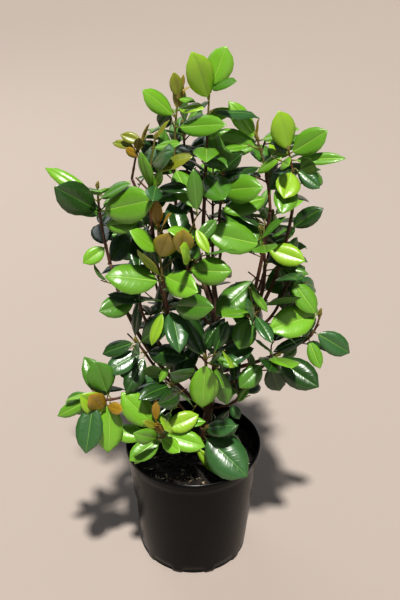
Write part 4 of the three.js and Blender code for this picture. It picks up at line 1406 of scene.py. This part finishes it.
# how far each leaf may go its own way
leafLife = {
    "fold": (0.14, 0.5),
    "wave": (0.3, 1.7),         # mm on a blade of the common length
    "beat": (1.0, 1.7),         # waves along each rim
    "leftPhase": (0, fullTurn),
    "rightPhase": (0, fullTurn),
    "twist": (-0.22, 0.22),     # radians at the tip
    "sideBend": (-0.05, 0.05),  # share of its length
    "tipCurl": (0.0, 0.09),
    "arch": (0.02, 0.42),       # how far each half curves down to its rim
    "roll": (-0.22, 0.22),      # about its own length
}
foldShares = {"young": 1.5, "calm": 0.35, "common": 1}
foldEase, ripplePower = 0.45, 2.2       # the fold eases out to the rim, the ripple grows there
curlFrom, rollBy = 0.72, 0.15           # shares of the blade
commonLong = 70


def bladeShape(sheet, leaf, broad):
    # share along the blade, share out to the rim, half width and place across, for every point
    column, stalkRows = sheet["column"], leafSheet["stalkRows"]
    t = np.clip((sheet["row"] - stalkRows) / (leafSheet["rows"] - stalkRows), 0, 1)
    crowding = leafSheet["rowCrowding"]
    u = t * (1 - crowding) + (1 - np.cos(math.pi * t)) / 2 * crowding
    tipStart = leafSheet["tipStart"]
    drawn = roundOutline(tipStart) * np.clip((1 - u) / (1 - tipStart), 0, 1) ** leafSheet["tipDraw"]
    least = np.where(u < 0.5, *leafSheet["endShares"])
    half = np.maximum(np.where(u > tipStart, drawn, roundOutline(u)) * leaf["wide"] * broad / 2, least)
    share = np.array(leafSheet["acrossShares"])[np.abs(column)]
    ribEdge = np.minimum(mix(*leafSheet["ribEdge"], u), half * 0.4)
    y = np.where(np.abs(column) == 1, ribEdge, share * half) * np.sign(column)
    return u, np.abs(y) / half, half, y


def bendLeaf(sheet, leaf, dice):
    # the leaf's points in its own space: x along the blade, y across it, z out of its face
    column, row, isTop = sheet["column"], sheet["row"], sheet["top"]
    young, exact, long = leaf["young"], leaf.get("exact"), leaf["long"]
    broad = leafSheet["youngBroad"] if young else dice(*leafSheet["broad"])
    u, s, half, y = bladeShape(sheet, leaf, leafSheet["singleBroad"] if exact else broad)
    isShort = long < leafSheet["shortLeaf"]
    petiole = leafForm["petiole"] * (long / leafSheet["shortLeaf"] if isShort else 1)
    x = petiole + long * u
    # bends that make each leaf its own
    life = {bend: dice(*span) for bend, span in leafLife.items()}
    fold = life["fold"] * foldShares["young" if young else "calm" if leaf.get("calm") else "common"]
    z = -leaf["droop"] * long * u * u + fold * np.abs(y) * (1 - foldEase * s)
    z -= life["arch"] * np.abs(y) * s
    phase = np.where(column > 0, life["leftPhase"], life["rightPhase"])
    ripple = np.sin(life["beat"] * fullTurn * u + phase)
    ripple = life["wave"] * long / commonLong * ripple
    z += ripple * s ** ripplePower * np.sin(math.pi * np.clip(u, 0, 1))
    z -= life["tipCurl"] * long * smoothStep(curlFrom, 1.0, u) ** 2
    z -= np.where(column == 0, leafSheet["ribGroove"] * (1 - 0.5 * u), 0)
    thick = leafSheet["bladeThickness"] * (1 - s ** 3) + leafSheet["rimThickness"] * s ** 3
    thick = np.where(column == 0, np.minimum(mix(*leafSheet["ribThickness"], u), half * 1.4), thick)
    z = np.where(isTop, z, z - thick)
    # the twist and the sideways bend
    angle = life["twist"] * u + life["roll"] * smoothStep(0, rollBy, u) * (not exact)
    y, z = y * np.cos(angle) - z * np.sin(angle), y * np.sin(angle) + z * np.cos(angle)
    y = y + life["sideBend"] * long * u * u
    # the stalk is round, and runs into the blade's foot
    stalkRows = leafSheet["stalkRows"]
    stalk = row < stalkRows
    around = column / (leafSheet["columns"] // 2) * math.pi / 2
    radius = leafSheet["stalkRadius"] * (leafSheet["shortStalk"] if isShort else 1)
    x = np.where(stalk, petiole * row / stalkRows, x)
    y = np.where(stalk, radius * np.sin(around), y)
    z = np.where(stalk, np.where(isTop, 1, -1) * radius * np.cos(around) - leafSheet["stalkDrop"], z)
    points = np.outer(x, leaf["way"]) + np.outer(y, leaf["side"]) + np.outer(z, leaf["up"])
    uv = np.stack([u, 0.5 + 0.5 * np.sign(column) * s], axis=1)
    return points + np.array(leaf["base"]), uv


# which tones an old leaf takes, as painted light: leaves under others get darker tones, painted shade,
# and those in the open brighter ones, painted sun
paintedLightDeal = {
    "under": (("leafDeep", 6), ("leafBlue", 2), ("leafMid", 2)),
    "half": (("leafDeep", 2), ("leafBlue", 2), ("leafMid", 5), ("leafGrass", 3)),
    "open": (("leafBlue", 1), ("leafMid", 2), ("leafGrass", 5), ("leafFresh", 4), ("leafLime", 1)),
    # the deal for shoots in full sun: bright tones, painted sun
    "fresh": (("leafGrass", 2), ("leafFresh", 4), ("leafLime", 3)),
}
youngDeal = {     # the young leaves of each shoot that has them tinted
    "second": ("leafBronze", "leafOlive"),
    "left": ("leafAmber", "leafBronze"),
    "leftBack": ("leafOlive", "leafAmber"),
    "lowLeft": ("leafAmber", "leafBronze"),
    "frontLeft": ("leafAmber", "leafOlive"),
    "rightInner": ("leafBronze", "leafOlive"),
}
youngShare = 0.55                # of a pair's first tone
# the leaves of these shoots take bright tones, painted sun on them
paintedSunShoots = ("frontLeft",)     # low shoots in full sun
# how many leaves hang over a leaf sets its painted shade
above = {     # which leaves hang over one, in mm, and how many make it half covered or under others
    "rise": 22, "reach": 26, "few": 1, "several": 3,
}
underOf = {"leafFresh": "leafUnderFresh", "leafLime": "leafUnderFresh"}
# the midrib follows the painted light: light on leaves painted sunlit, darker on those painted in shade
ribOf = {
    "leafDeep": "leafMid", "leafBlue": "leafRib", "leafMid": "leafRib",
    "leafGrass": "leafRibFresh", "leafFresh": "leafRibFresh", "leafLime": "leafRibFresh",
}
leafSeed = 7
masses = ["foliage-" + name for name in shoots]


def pickTone(deal, draw):
    total = sum(weight for tone, weight in deal)
    mark = draw * total
    for tone, weight in deal:
        mark -= weight
        if mark <= 0:
            return tone
    return deal[-1][0]


def leavesAbove(leaf, placed):
    # how many leaves hang over this one, which sets how dark its painted shade is
    x, y, z = leaf["middle"]
    middles = [other["middle"] for other, owner in placed if other["middle"][2] > z + above["rise"]]
    far = [math.hypot(middle[0] - x, middle[1] - y) for middle in middles]
    return sum(1 for away in far if away < above["reach"])


def oldLook(leaf, owner, placed, draw):
    # the tones of a leaf's upper side, underside and midrib, the upper side darker as painted shade the
    # more leaves hang over it
    over = leavesAbove(leaf, placed)
    deal = "open" if over < above["few"] else "half" if over < above["several"] else "under"
    tone = leaf.get("tone") or pickTone(paintedLightDeal["fresh" if owner in paintedSunShoots else deal], draw)
    return tone, underOf.get(tone, "leafUnder"), ribOf.get(tone, "leafRib")


def youngLook(leaf, owner, draw):
    pair = youngDeal.get(owner, ("leafLime", "leafOlive"))
    tone = leaf.get("tone") or pair[0 if draw < youngShare else 1]
    return tone, "leafUnderFresh" if tone == "leafLime" else "leafBronzeUnder", tone


def buildLeaves(crown):
    sheet = makeSheet()
    heights = sorted(leaf["middle"][2] for leaf, owner in crown.placed)
    third, twoThirds = (heights[k * len(heights) // 3] for k in (1, 2))
    oldNames = ("leafDeep", "leafBlue", "leafMid", "leafGrass", "leafFresh", "leafLime", "leafOlive",
                "leafUnder", "leafUnderFresh", "leafRib", "leafRibFresh", "leafStalk")
    youngNames = ("leafBronze", "leafOlive", "leafAmber", "leafBronzeUnder", "leafStalk",
                  "leafLime", "leafUnderFresh")
    toneNames = {"leavesLow": oldNames, "leavesMiddle": oldNames, "leavesTop": oldNames,
                 "leavesYoung": youngNames}
    batches = {name: Joined(name, dressing(names), "bladeMap") for name, names in toneNames.items()}
    smooth = [kind != "rim" for kind in sheet["kinds"]]
    dice = makeDice(leafSeed)
    for leaf, owner in crown.placed:
        points, uv = bendLeaf(sheet, leaf, dice)
        draw = dice(0, 1)
        high = leaf["middle"][2]
        if leaf["young"]:
            batch = "leavesYoung"
            tone, under, rib = youngLook(leaf, owner, draw)
        else:
            batch = "leavesLow" if high < third else "leavesTop" if high > twoThirds else "leavesMiddle"
            tone, under, rib = oldLook(leaf, owner, crown.placed, draw)
        parts = {"top": tone, "rim": tone, "under": under, "rib": rib, "stalk": "leafStalk"}
        tones = [toneNames[batch].index(parts[kind]) for kind in sheet["kinds"]]
        batches[batch].put(points, sheet["faces"], tones, smooth, uv)
    for batch in batches.values():
        batch.finish("foliage", *masses)


# wood: tubes that follow the limbs' bowed lines
woodForm = {
    "trunkSides": 40, "trunkSteps": 72,
    "boughSides": 18, "boughSteps": 44,
    "stemSides": 10, "stemSteps": 34,
    "twigSides": 8, "twigSteps": 8,
    "footFlare": 0.8, "footReach": 30,      # as in the solids
    "collar": 0.55, "collarReach": 9,       # the swelling where a bough leaves its parent
    "ringRise": 0.05, "ringPitch": 17,      # shallow rings along a bough
    "furrow": 0.55,                         # bark relief in mm on the trunk
    "boughFurrow": 0.45, "furrowShare": 0.09,       # the most on a bough, and its share of the radius
    "thinBough": 3.4,                       # mm, below which a bough has young bark
    "seedStep": 3.7,
    "ridge": (2.2, 34), "ridgeShare": 0.7,  # width and pitch of the long furrows, and their share
    "grain": (5.5, 12), "grainShare": 0.6,
}
stemForm = {
    "leafSwell": 0.32, "swellReach": 2.2, "mostSwell": 0.5,     # where each leaf leaves the stem
    "greenFrom": (0.8, 0.55),               # share of a stem, without and with young leaves
    "twigs": (1.3, 1.0), "fineTwigs": (0.95, 0.75), "twigCollar": 0.35, "twigCollarFade": 10,
}


def makeTube(sides, steps):
    # an upright tube with closed ends, as rings of points
    bm = bmesh.new()
    bmesh.ops.create_cone(bm, cap_ends=True, segments=sides, radius1=1, radius2=1, depth=1)
    uprights = [e for e in bm.edges if abs(e.verts[0].co.z - e.verts[1].co.z) > 0.5]
    bmesh.ops.subdivide_edges(bm, edges=uprights, cuts=steps - 1, use_grid_fill=False)
    bmesh.ops.recalc_face_normals(bm, faces=bm.faces[:])
    points, faces = formArrays(bm)
    return {
        "share": points[:, 2] + 0.5,
        "angle": np.arctan2(points[:, 1], points[:, 0]),
        "faces": faces,
        "smooth": [len(face) == 4 for face in faces],
    }


def alongLine(line, t):
    # places and ways of a bowed line for an array of shares
    a, b, c = (np.array(p, dtype=float) for p in line)
    t = t[:, None]
    place = a * (1 - t) ** 2 + b * 2 * t * (1 - t) + c * t ** 2
    way = (b - a) * 2 * (1 - t) + (c - b) * 2 * t
    return place, way / np.linalg.norm(way, axis=1)[:, None]


def followLine(tube, line, radiusAt, relief=None):
    # the tube's points round a bowed line, without twist
    place, way = alongLine(line, tube["share"])
    mean = way.mean(axis=0)
    guide = np.array((1.0, 0, 0) if abs(mean[0]) < 0.7 * np.linalg.norm(mean) else (0, 1.0, 0))
    e1 = guide - way * (way @ guide)[:, None]
    e1 /= np.linalg.norm(e1, axis=1)[:, None]
    e2 = np.cross(way, e1)
    radius = radiusAt(tube["share"])
    if relief is not None:
        radius = radius + relief(tube["angle"], tube["share"])
    spoke = e1 * np.cos(tube["angle"])[:, None] + e2 * np.sin(tube["angle"])[:, None]
    return place + spoke * radius[:, None]


def barkNoise(angle, along, width, pitch, seed):
    return noise.noise(Vector((math.cos(angle) * width, math.sin(angle) * width, along / pitch + seed)))


def barkRelief(depth, seed, long):
    # long furrows that wander a little, and a finer grain
    def relief(angle, share):
        out = np.zeros(len(angle))
        for i, (a, along) in enumerate(zip(angle, share * long)):
            ridge = 1 - abs(barkNoise(a, along, *woodForm["ridge"], seed) * 2)
            grain = barkNoise(a, along, *woodForm["grain"], seed)
            out[i] = depth * (ridge * woodForm["ridgeShare"] + grain * woodForm["grainShare"] - 0.5)
        return out
    return relief


def lineLength(line):
    place = alongLine(line, np.linspace(0, 1, 12))[0]
    return float(np.linalg.norm(np.diff(place, axis=0), axis=1).sum())


def limbRadius(name, long, r0, r1):
    def radiusAt(t):
        if name == "trunk":
            foot = woodForm["footFlare"] * np.clip(1 - t * long / woodForm["footReach"], 0, 1) ** 2
            rings = 0
        else:
            foot = woodForm["collar"] * np.exp(-t * long / woodForm["collarReach"])
            beat = np.cos(t * long / woodForm["ringPitch"] * fullTurn)
            rings = woodForm["ringRise"] * np.maximum(0, beat) ** 8
        return mix(r0, r1, t) * (1 + foot + rings)
    return radiusAt


def buildWood(crown):
    limbWood = Joined("woodyLimbs", dressing(("barkOld", "barkYoung")))
    trunkTube = makeTube(woodForm["trunkSides"], woodForm["trunkSteps"])
    boughTube = makeTube(woodForm["boughSides"], woodForm["boughSteps"])
    seed = 0
    for name, limb in crown.limbs.items():
        seed += woodForm["seedStep"]
        long = lineLength(limb["line"])
        r0, r1 = limb["girth"]
        tube, depth, bark = trunkTube, woodForm["furrow"], 0
        if name != "trunk":
            tube, depth = boughTube, min(woodForm["boughFurrow"], r0 * woodForm["furrowShare"])
            bark = 1 if r0 < woodForm["thinBough"] else 0
        relief = barkRelief(depth, seed, long)
        points = followLine(tube, limb["line"], limbRadius(name, long, r0, r1), relief)
        limbWood.put(points, tube["faces"], bark, tube["smooth"])
    limbWood.finish("bark", "trunk", *["bough-" + name for name in shoots])


def stemRadius(stem, long):
    leafShares = sorted({leaf["share"] for leaf in stem["leaves"] if not leaf["young"]})

    def radiusAt(t):
        swell = np.zeros(len(t))
        for share in leafShares:
            swell += stemForm["leafSwell"] * np.exp(-((t - share) * long / stemForm["swellReach"]) ** 2)
        return mix(stem["radius"], rule["stemTipRadius"], t) + np.minimum(swell, stemForm["mostSwell"])
    return radiusAt


def twigRadius(kind):
    def radiusAt(t):
        collar = stemForm["twigCollar"] * np.exp(-t * stemForm["twigCollarFade"])
        return mix(*stemForm[kind], t) * (1 + collar)
    return radiusAt


def buildStems(crown):
    # each shoot's stem starts brown and turns green near its tip, and its twigs leave it
    stemWood = Joined("stemsAndTwigs", dressing(("barkYoung", "stemGreen")))
    stemTube = makeTube(woodForm["stemSides"], woodForm["stemSteps"])
    twigTube = makeTube(woodForm["twigSides"], woodForm["twigSteps"])
    middles = [sum(stemTube["share"][i] for i in face) / len(face) for face in stemTube["faces"]]
    for name, stem in crown.stems.items():
        points = followLine(stemTube, stem["line"], stemRadius(stem, lineLength(stem["line"])))
        green = stemForm["greenFrom"][1 if shoots[name]["young"] else 0]
        tones = [1 if middle > green else 0 for middle in middles]
        stemWood.put(points, stemTube["faces"], tones, stemTube["smooth"])
        for tone, kind in enumerate(("twigs", "fineTwigs")):
            for base, end in stem[kind]:
                points = followLine(twigTube, bowed(base, end, (0, 0, 0)), twigRadius(kind))
                stemWood.put(points, twigTube["faces"], tone, twigTube["smooth"])
    stemWood.finish("bark", *masses)


# buds: one in the crook of each leaf, a larger scaled one at each tip
budForm = {
    "small": (1.5, 3.6), "large": (2.1, 8.5),       # radius and length in mm
    "smallRadius": (0.7, 1.1), "smallLong": (0.8, 1.2), "largeLong": (0.8, 1.15),
    "off": (1.6, 1.2), "upward": 0.8, "sunk": 1.2,  # off a leaf's foot, and into a stem's tip
    "scales": 4, "scaleLean": 0.16, "scaleWide": 3.6, "scaleLong": (0.55, 0.16),
    "scaleSunk": 3.5, "scaleOff": 0.5, "drawnOut": 0.45,
    "tinted": ("lowLeft", "frontLeft", "left"), "seed": 11,
}


def makeBud():
    # an egg drawn out to a point
    bm = bmesh.new()
    bmesh.ops.create_uvsphere(bm, u_segments=8, v_segments=7, radius=1)
    points, faces = formArrays(bm)
    t = (points[:, 2] + 1) / 2
    points[:, :2] *= (1 - budForm["drawnOut"] * t)[:, None]
    points[:, 2] = t
    return points, faces


def setAlong(points, base, way, radius, long):
    e1, e2 = (np.array(spoke) for spoke in spokes(way))
    flat = points * np.array((radius, radius, long))
    return np.array(base) + flat[:, :1] * e1 + flat[:, 1:2] * e2 + flat[:, 2:] * np.array(way)


def buildBuds(crown):
    budPoints, budFaces = makeBud()
    sheet = makeSheet()
    buds = Joined("buds", dressing(("budScale", "leafAmber", "stemGreen")), "bladeMap")
    dice = makeDice(budForm["seed"])
    blank = np.full((len(budPoints), 2), 0.5)

    def putBud(base, way, radius, long, tint):
        points = setAlong(budPoints, base, way, radius, long)
        buds.put(points, budFaces, tint, True, blank)

    radius, long = budForm["small"]
    along, over = budForm["off"]
    for leaf, owner in crown.placed:
        if leaf["young"]:
            continue
        foot = add(add(leaf["base"], mul(leaf["way"], along)), mul(leaf["up"], over))
        way = unit(add(leaf["way"], mul(leaf["up"], budForm["upward"])))
        thick = radius * dice(*budForm["smallRadius"])
        putBud(foot, way, thick, long * dice(*budForm["smallLong"]), 0)
    radius, long = budForm["large"]
    for name, stem in crown.stems.items():
        tip = stem["line"][2]
        way = wayAt(stem["line"], 1)
        tint = 1 if name in budForm["tinted"] else 0
        start = sub(tip, mul(way, budForm["sunk"]))
        putBud(start, way, radius, long * dice(*budForm["largeLong"]), tint)
        shortest, step = budForm["scaleLong"]
        foot = sub(tip, mul(way, budForm["scaleSunk"]))
        for k in range(budForm["scales"]):
            spoke = spokeAt(way, k * rule["goldenTurn"])
            lean = unit(add(way, mul(spoke, budForm["scaleLean"])))
            up = facedUp(lean, mul(spoke, -1))
            points, uv = bendLeaf(sheet, {
                "base": add(foot, mul(spoke, radius * budForm["scaleOff"])), "way": lean,
                "side": cross(up, lean), "up": up, "long": long * (shortest + step * k),
                "wide": budForm["scaleWide"], "droop": 0.0, "young": True,
            }, dice)
            buds.put(points, sheet["faces"], tint, True, uv)
    buds.finish("foliage", *masses)


# the pot: a thin tapered shell with a rolled rim, spun once round, with low drain notches
pot = {
    "height": 210, "rimRadius": 108, "neckRadius": 104.6, "baseRadius": 86, "baseRound": 5,
    "wall": 2, "floor": 2.6, "bandHeight": 9, "spinSteps": 160,
    "seamAngles": (20, 200), "seamRise": 0.35, "seamWidth": 1.6,    # the mould's parting lines
    "stepDrop": 17, "stepRise": 0.5,                                # the slight band under the lip
    "sharpAngle": 38,
    "lip": (2.0, 4.6), "lipMiddle": 4.2, "lipTurn": (-40, 26), "lipPoints": 9,      # rolled over
    "rounds": 7, "wallPoints": 28, "seamFrom": 6,
}
notch = {"count": 10, "width": 38, "height": 4.5, "depth": 9, "inset": 1.6, "fade": 14, "soft": 1.4}
wallRings = (150, 100, 50, 12)      # heights inside the wall


def wallRadius(z):
    return mix(pot["baseRadius"], pot["neckRadius"], z / (pot["height"] - pot["bandHeight"]))


def spinShell(profile, steps):
    # a closed shell: the profile, as radius and height, spun once round
    bm = bmesh.new()
    line = [bm.verts.new((r, 0, z)) for r, z in profile]
    edges = [bm.edges.new(pair) for pair in zip(line, line[1:])]
    bmesh.ops.spin(bm, geom=line + edges, cent=(0, 0, 0), axis=(0, 0, 1), dvec=(0, 0, 0),
                   angle=2 * math.pi, steps=steps, use_merge=True)
    bmesh.ops.remove_doubles(bm, verts=bm.verts[:], dist=0.01)
    bmesh.ops.recalc_face_normals(bm, faces=bm.faces[:])
    return bm


def finishShell(bm, name, material, slot, node, sharp=None):
    bmesh.ops.scale(bm, verts=bm.verts[:], vec=(mm, mm, mm))
    mesh = bpy.data.meshes.new(name)
    bm.to_mesh(mesh)
    bm.free()
    mesh.shade_smooth()
    if sharp:
        mesh.set_sharp_from_angle(angle=math.radians(sharp))
    mesh.materials.append(dressing((material,))[0])
    placePiece(name, mesh, slot, node)


def widen(v, grow):
    v.co.x *= grow
    v.co.y *= grow


def potProfile():
    # from the middle of the underside, out and up the wall, over the rim and down inside
    band = pot["height"] - pot["bandHeight"]
    base, soft = pot["baseRadius"], pot["baseRound"]
    path = [(0, 0), (30, 0), (60, 0), (base - notch["depth"], 0)]
    for k in range(pot["rounds"]):
        a = k / (pot["rounds"] - 1) * math.pi / 2
        path.append((base - soft + soft * math.sin(a), soft * (1 - math.cos(a))))
    path[-1] = (wallRadius(soft), soft)
    step = pot["height"] - pot["stepDrop"]
    for k in range(pot["wallPoints"]):
        z = mix(soft + 3, step - 1.5, k / (pot["wallPoints"] - 1))
        path.append((wallRadius(z), z))
    path.append((wallRadius(step) + pot["stepRise"], step))
    path.append((wallRadius(band - 3) + pot["stepRise"], band - 3))
    path.append((wallRadius(band) + pot["stepRise"], band - 0.3))
    path.append((pot["rimRadius"] - 1.2, band + 0.8))
    across, high = pot["lip"]
    first, turn = pot["lipTurn"]
    for k in range(pot["lipPoints"]):
        a = math.radians(first + k * turn)
        r = pot["rimRadius"] - across + across * math.cos(a)
        path.append((r, band + pot["lipMiddle"] + high * math.sin(a)))
    inner, floor = pot["neckRadius"] - pot["wall"], pot["floor"]
    path += [(inner + 0.2, pot["height"] - 2.5), (inner - 0.4, band)]
    path += [(wallRadius(z) - pot["wall"], z) for z in (*wallRings, floor + 3)]
    path += [(wallRadius(floor) - pot["wall"] - 3, floor), (40, floor), (0, floor)]
    return path


def buildPot():
    bm = spinShell(potProfile(), pot["spinSteps"])
    for v in bm.verts:
        pressNotch(v)
    for v in bm.verts:
        raiseSeam(v)
    finishShell(bm, "nurseryPot", "potPlastic", "pot_plastic", "pot", pot["sharpAngle"])


def raiseSeam(v):
    # the two faint parting lines of the mould
    r = math.hypot(v.co.x, v.co.y)
    inside = r < pot["baseRadius"] - pot["seamFrom"] or r < wallRadius(v.co.z) - 1
    if inside or v.co.z < pot["seamFrom"]:
        return
    angle = math.degrees(math.atan2(v.co.y, v.co.x)) % 360
    for seam in pot["seamAngles"]:
        off = abs((angle - seam + 180) % 360 - 180) * math.radians(1) * r
        widen(v, 1 + pot["seamRise"] * math.exp(-(off / pot["seamWidth"]) ** 2) / r)


def pressNotch(v):
    # the wall's foot is pushed up and in at ten places, and leaves ten low feet between
    r = math.hypot(v.co.x, v.co.y)
    if r < pot["baseRadius"] - notch["depth"] - 0.5 or v.co.z > notch["fade"]:
        return
    if r < wallRadius(v.co.z) - pot["wall"] + 0.3 and v.co.z > 1:
        return
    halfAngle = math.degrees(notch["width"] / 2 / pot["baseRadius"])
    chord = pot["baseRadius"] * math.cos(math.radians(halfAngle)) - notch["inset"]
    angle = math.degrees(math.atan2(v.co.y, v.co.x)) % (360 / notch["count"])
    off = abs(angle - 180 / notch["count"])
    lift = 1 - float(smoothStep(halfAngle - notch["soft"], halfAngle + notch["soft"], off))
    low = 1 - float(smoothStep(notch["height"], notch["fade"], v.co.z))
    flat = min(r, chord / math.cos(math.radians(off)))
    widen(v, mix(r, flat, lift * low) / r)
    v.co.z = mix(v.co.z, max(v.co.z, notch["height"]), lift)


# potting soil: an uneven filled body, with bark chips, a little perlite and pale scraps on top
soil = {
    "top": 185.7, "rings": 46, "spinSteps": 110, "clear": 2.8, "foot": 3, "lump": 3.2, "grain": 1.1,
    "lumpPitch": 21, "grainPitch": 5.5, "calmFrom": (8, 34), "calmLeast": 0.25, "edgeFrom": (78, 102),
    "edgeRise": 1.2, "settled": 0.4, "trunkFoot": (8, 8), "seed": 23,
}
litterForm = {
    "thick": (0.12, 0.25), "lean": (-0.5, 0.5), "tip": (-0.4, 0.4), "sitsAt": 0.35,
    "fromTrunk": 13, "fromWall": 8, "dented": 0.28,
}
litterKinds = {      # how many, which tone, length and breadth
    "chips": (1000, 0, (3.5, 11), (0.16, 0.4)),
    "perlite": (46, 2, (1.6, 4.2), (0.35, 0.5)),
    "scraps": (30, 1, (4, 11), (0.12, 0.3)),
    "frontScraps": (34, 1, (4, 12), (0.12, 0.3)),      # dry scraps gather inside the rim's front
}
frontStrip = {"across": (-70, 30), "back": (-84, -58), "seeds": (31, 32)}


def fromTrunk(x, y):
    return math.hypot(x - soil["trunkFoot"][0], y - soil["trunkFoot"][1])


def soilHeight(x, y):
    # lumps fade out where the trunk stands, so that its foot stays covered
    calm = float(smoothStep(*soil["calmFrom"], fromTrunk(x, y)))
    share = soil["calmLeast"] + (1 - soil["calmLeast"]) * calm
    lump = noise.noise(Vector((x / soil["lumpPitch"], y / soil["lumpPitch"], 3.1))) * soil["lump"]
    grain = noise.noise(Vector((x / soil["grainPitch"], y / soil["grainPitch"], 8.7))) * soil["grain"]
    edge = float(smoothStep(*soil["edgeFrom"], math.hypot(x, y))) * soil["edgeRise"]
    return soil["top"] + (lump + grain) * share + edge - soil["settled"]


def buildSoil():
    clear = soil["clear"]
    rim = wallRadius(soil["top"]) - clear
    path = [(0, soil["foot"]), (40, soil["foot"]), (70, soil["foot"]), (wallRadius(10) - clear - 1, 11),
            (wallRadius(100) - clear, 100), (wallRadius(170) - clear, 170), (rim, soil["top"] - 3)]
    path += [(rim * (1 - k / soil["rings"]), soil["top"]) for k in range(soil["rings"] + 1)]
    bm = spinShell(path, soil["spinSteps"])
    for v in bm.verts:
        if v.co.z > soil["top"] - 1:
            v.co.z = soilHeight(v.co.x, v.co.y)
    finishShell(bm, "soilBody", "soilMix", "potting_soil", "soil")


def makeCrumb():
    # a faceted lump, stretched and bent for each chip
    bm = bmesh.new()
    bmesh.ops.create_icosphere(bm, subdivisions=1, radius=1)
    for v in bm.verts:
        v.co *= 1 + litterForm["dented"] * noise.noise(v.co * 1.7 + Vector((4, 1, 2)))
    return formArrays(bm)


def buildLitter():
    crumb, faces = makeCrumb()
    litter = Joined("soilLitter", dressing(("barkChip", "paleChip", "perlite")))
    dice = makeDice(soil["seed"])
    acrossDice, backDice = (makeDice(seed) for seed in frontStrip["seeds"])
    reach = wallRadius(soil["top"]) - litterForm["fromWall"]
    for kind, (count, tone, longRange, flatness) in litterKinds.items():
        for k in range(count):
            if kind == "frontScraps":
                x, y = acrossDice(*frontStrip["across"]), backDice(*frontStrip["back"])
            else:
                r, a = reach * math.sqrt(dice(0, 1)), dice(0, 2 * math.pi)
                x, y = r * math.cos(a), r * math.sin(a)
            if fromTrunk(x, y) < litterForm["fromTrunk"] or math.hypot(x, y) > reach:
                continue
            long = dice(*longRange)
            size = np.array((long / 2, long * dice(*flatness), long * dice(*litterForm["thick"])))
            turn = Matrix.Rotation(dice(0, fullTurn), 3, "Z")
            turn = turn @ Matrix.Rotation(dice(*litterForm["lean"]), 3, "X")
            turn = turn @ Matrix.Rotation(dice(*litterForm["tip"]), 3, "Y")
            points = (crumb * size) @ np.array(turn.transposed())
            points += np.array((x, y, soilHeight(x, y) + size[2] * litterForm["sitsAt"]))
            litter.put(points, faces, tone, False)
    litter.finish("potting_soil", "soil")


# the whole bush
setCamera()
setStudio()
crown = Crown()
crown.grow()
buildLeaves(crown)
buildWood(crown)
buildStems(crown)
buildBuds(crown)
print("leaves, wood and buds are made")
buildPot()
buildSoil()
buildLitter()
print("the pot, the soil and its litter are made")

bpy.context.view_layer.update()
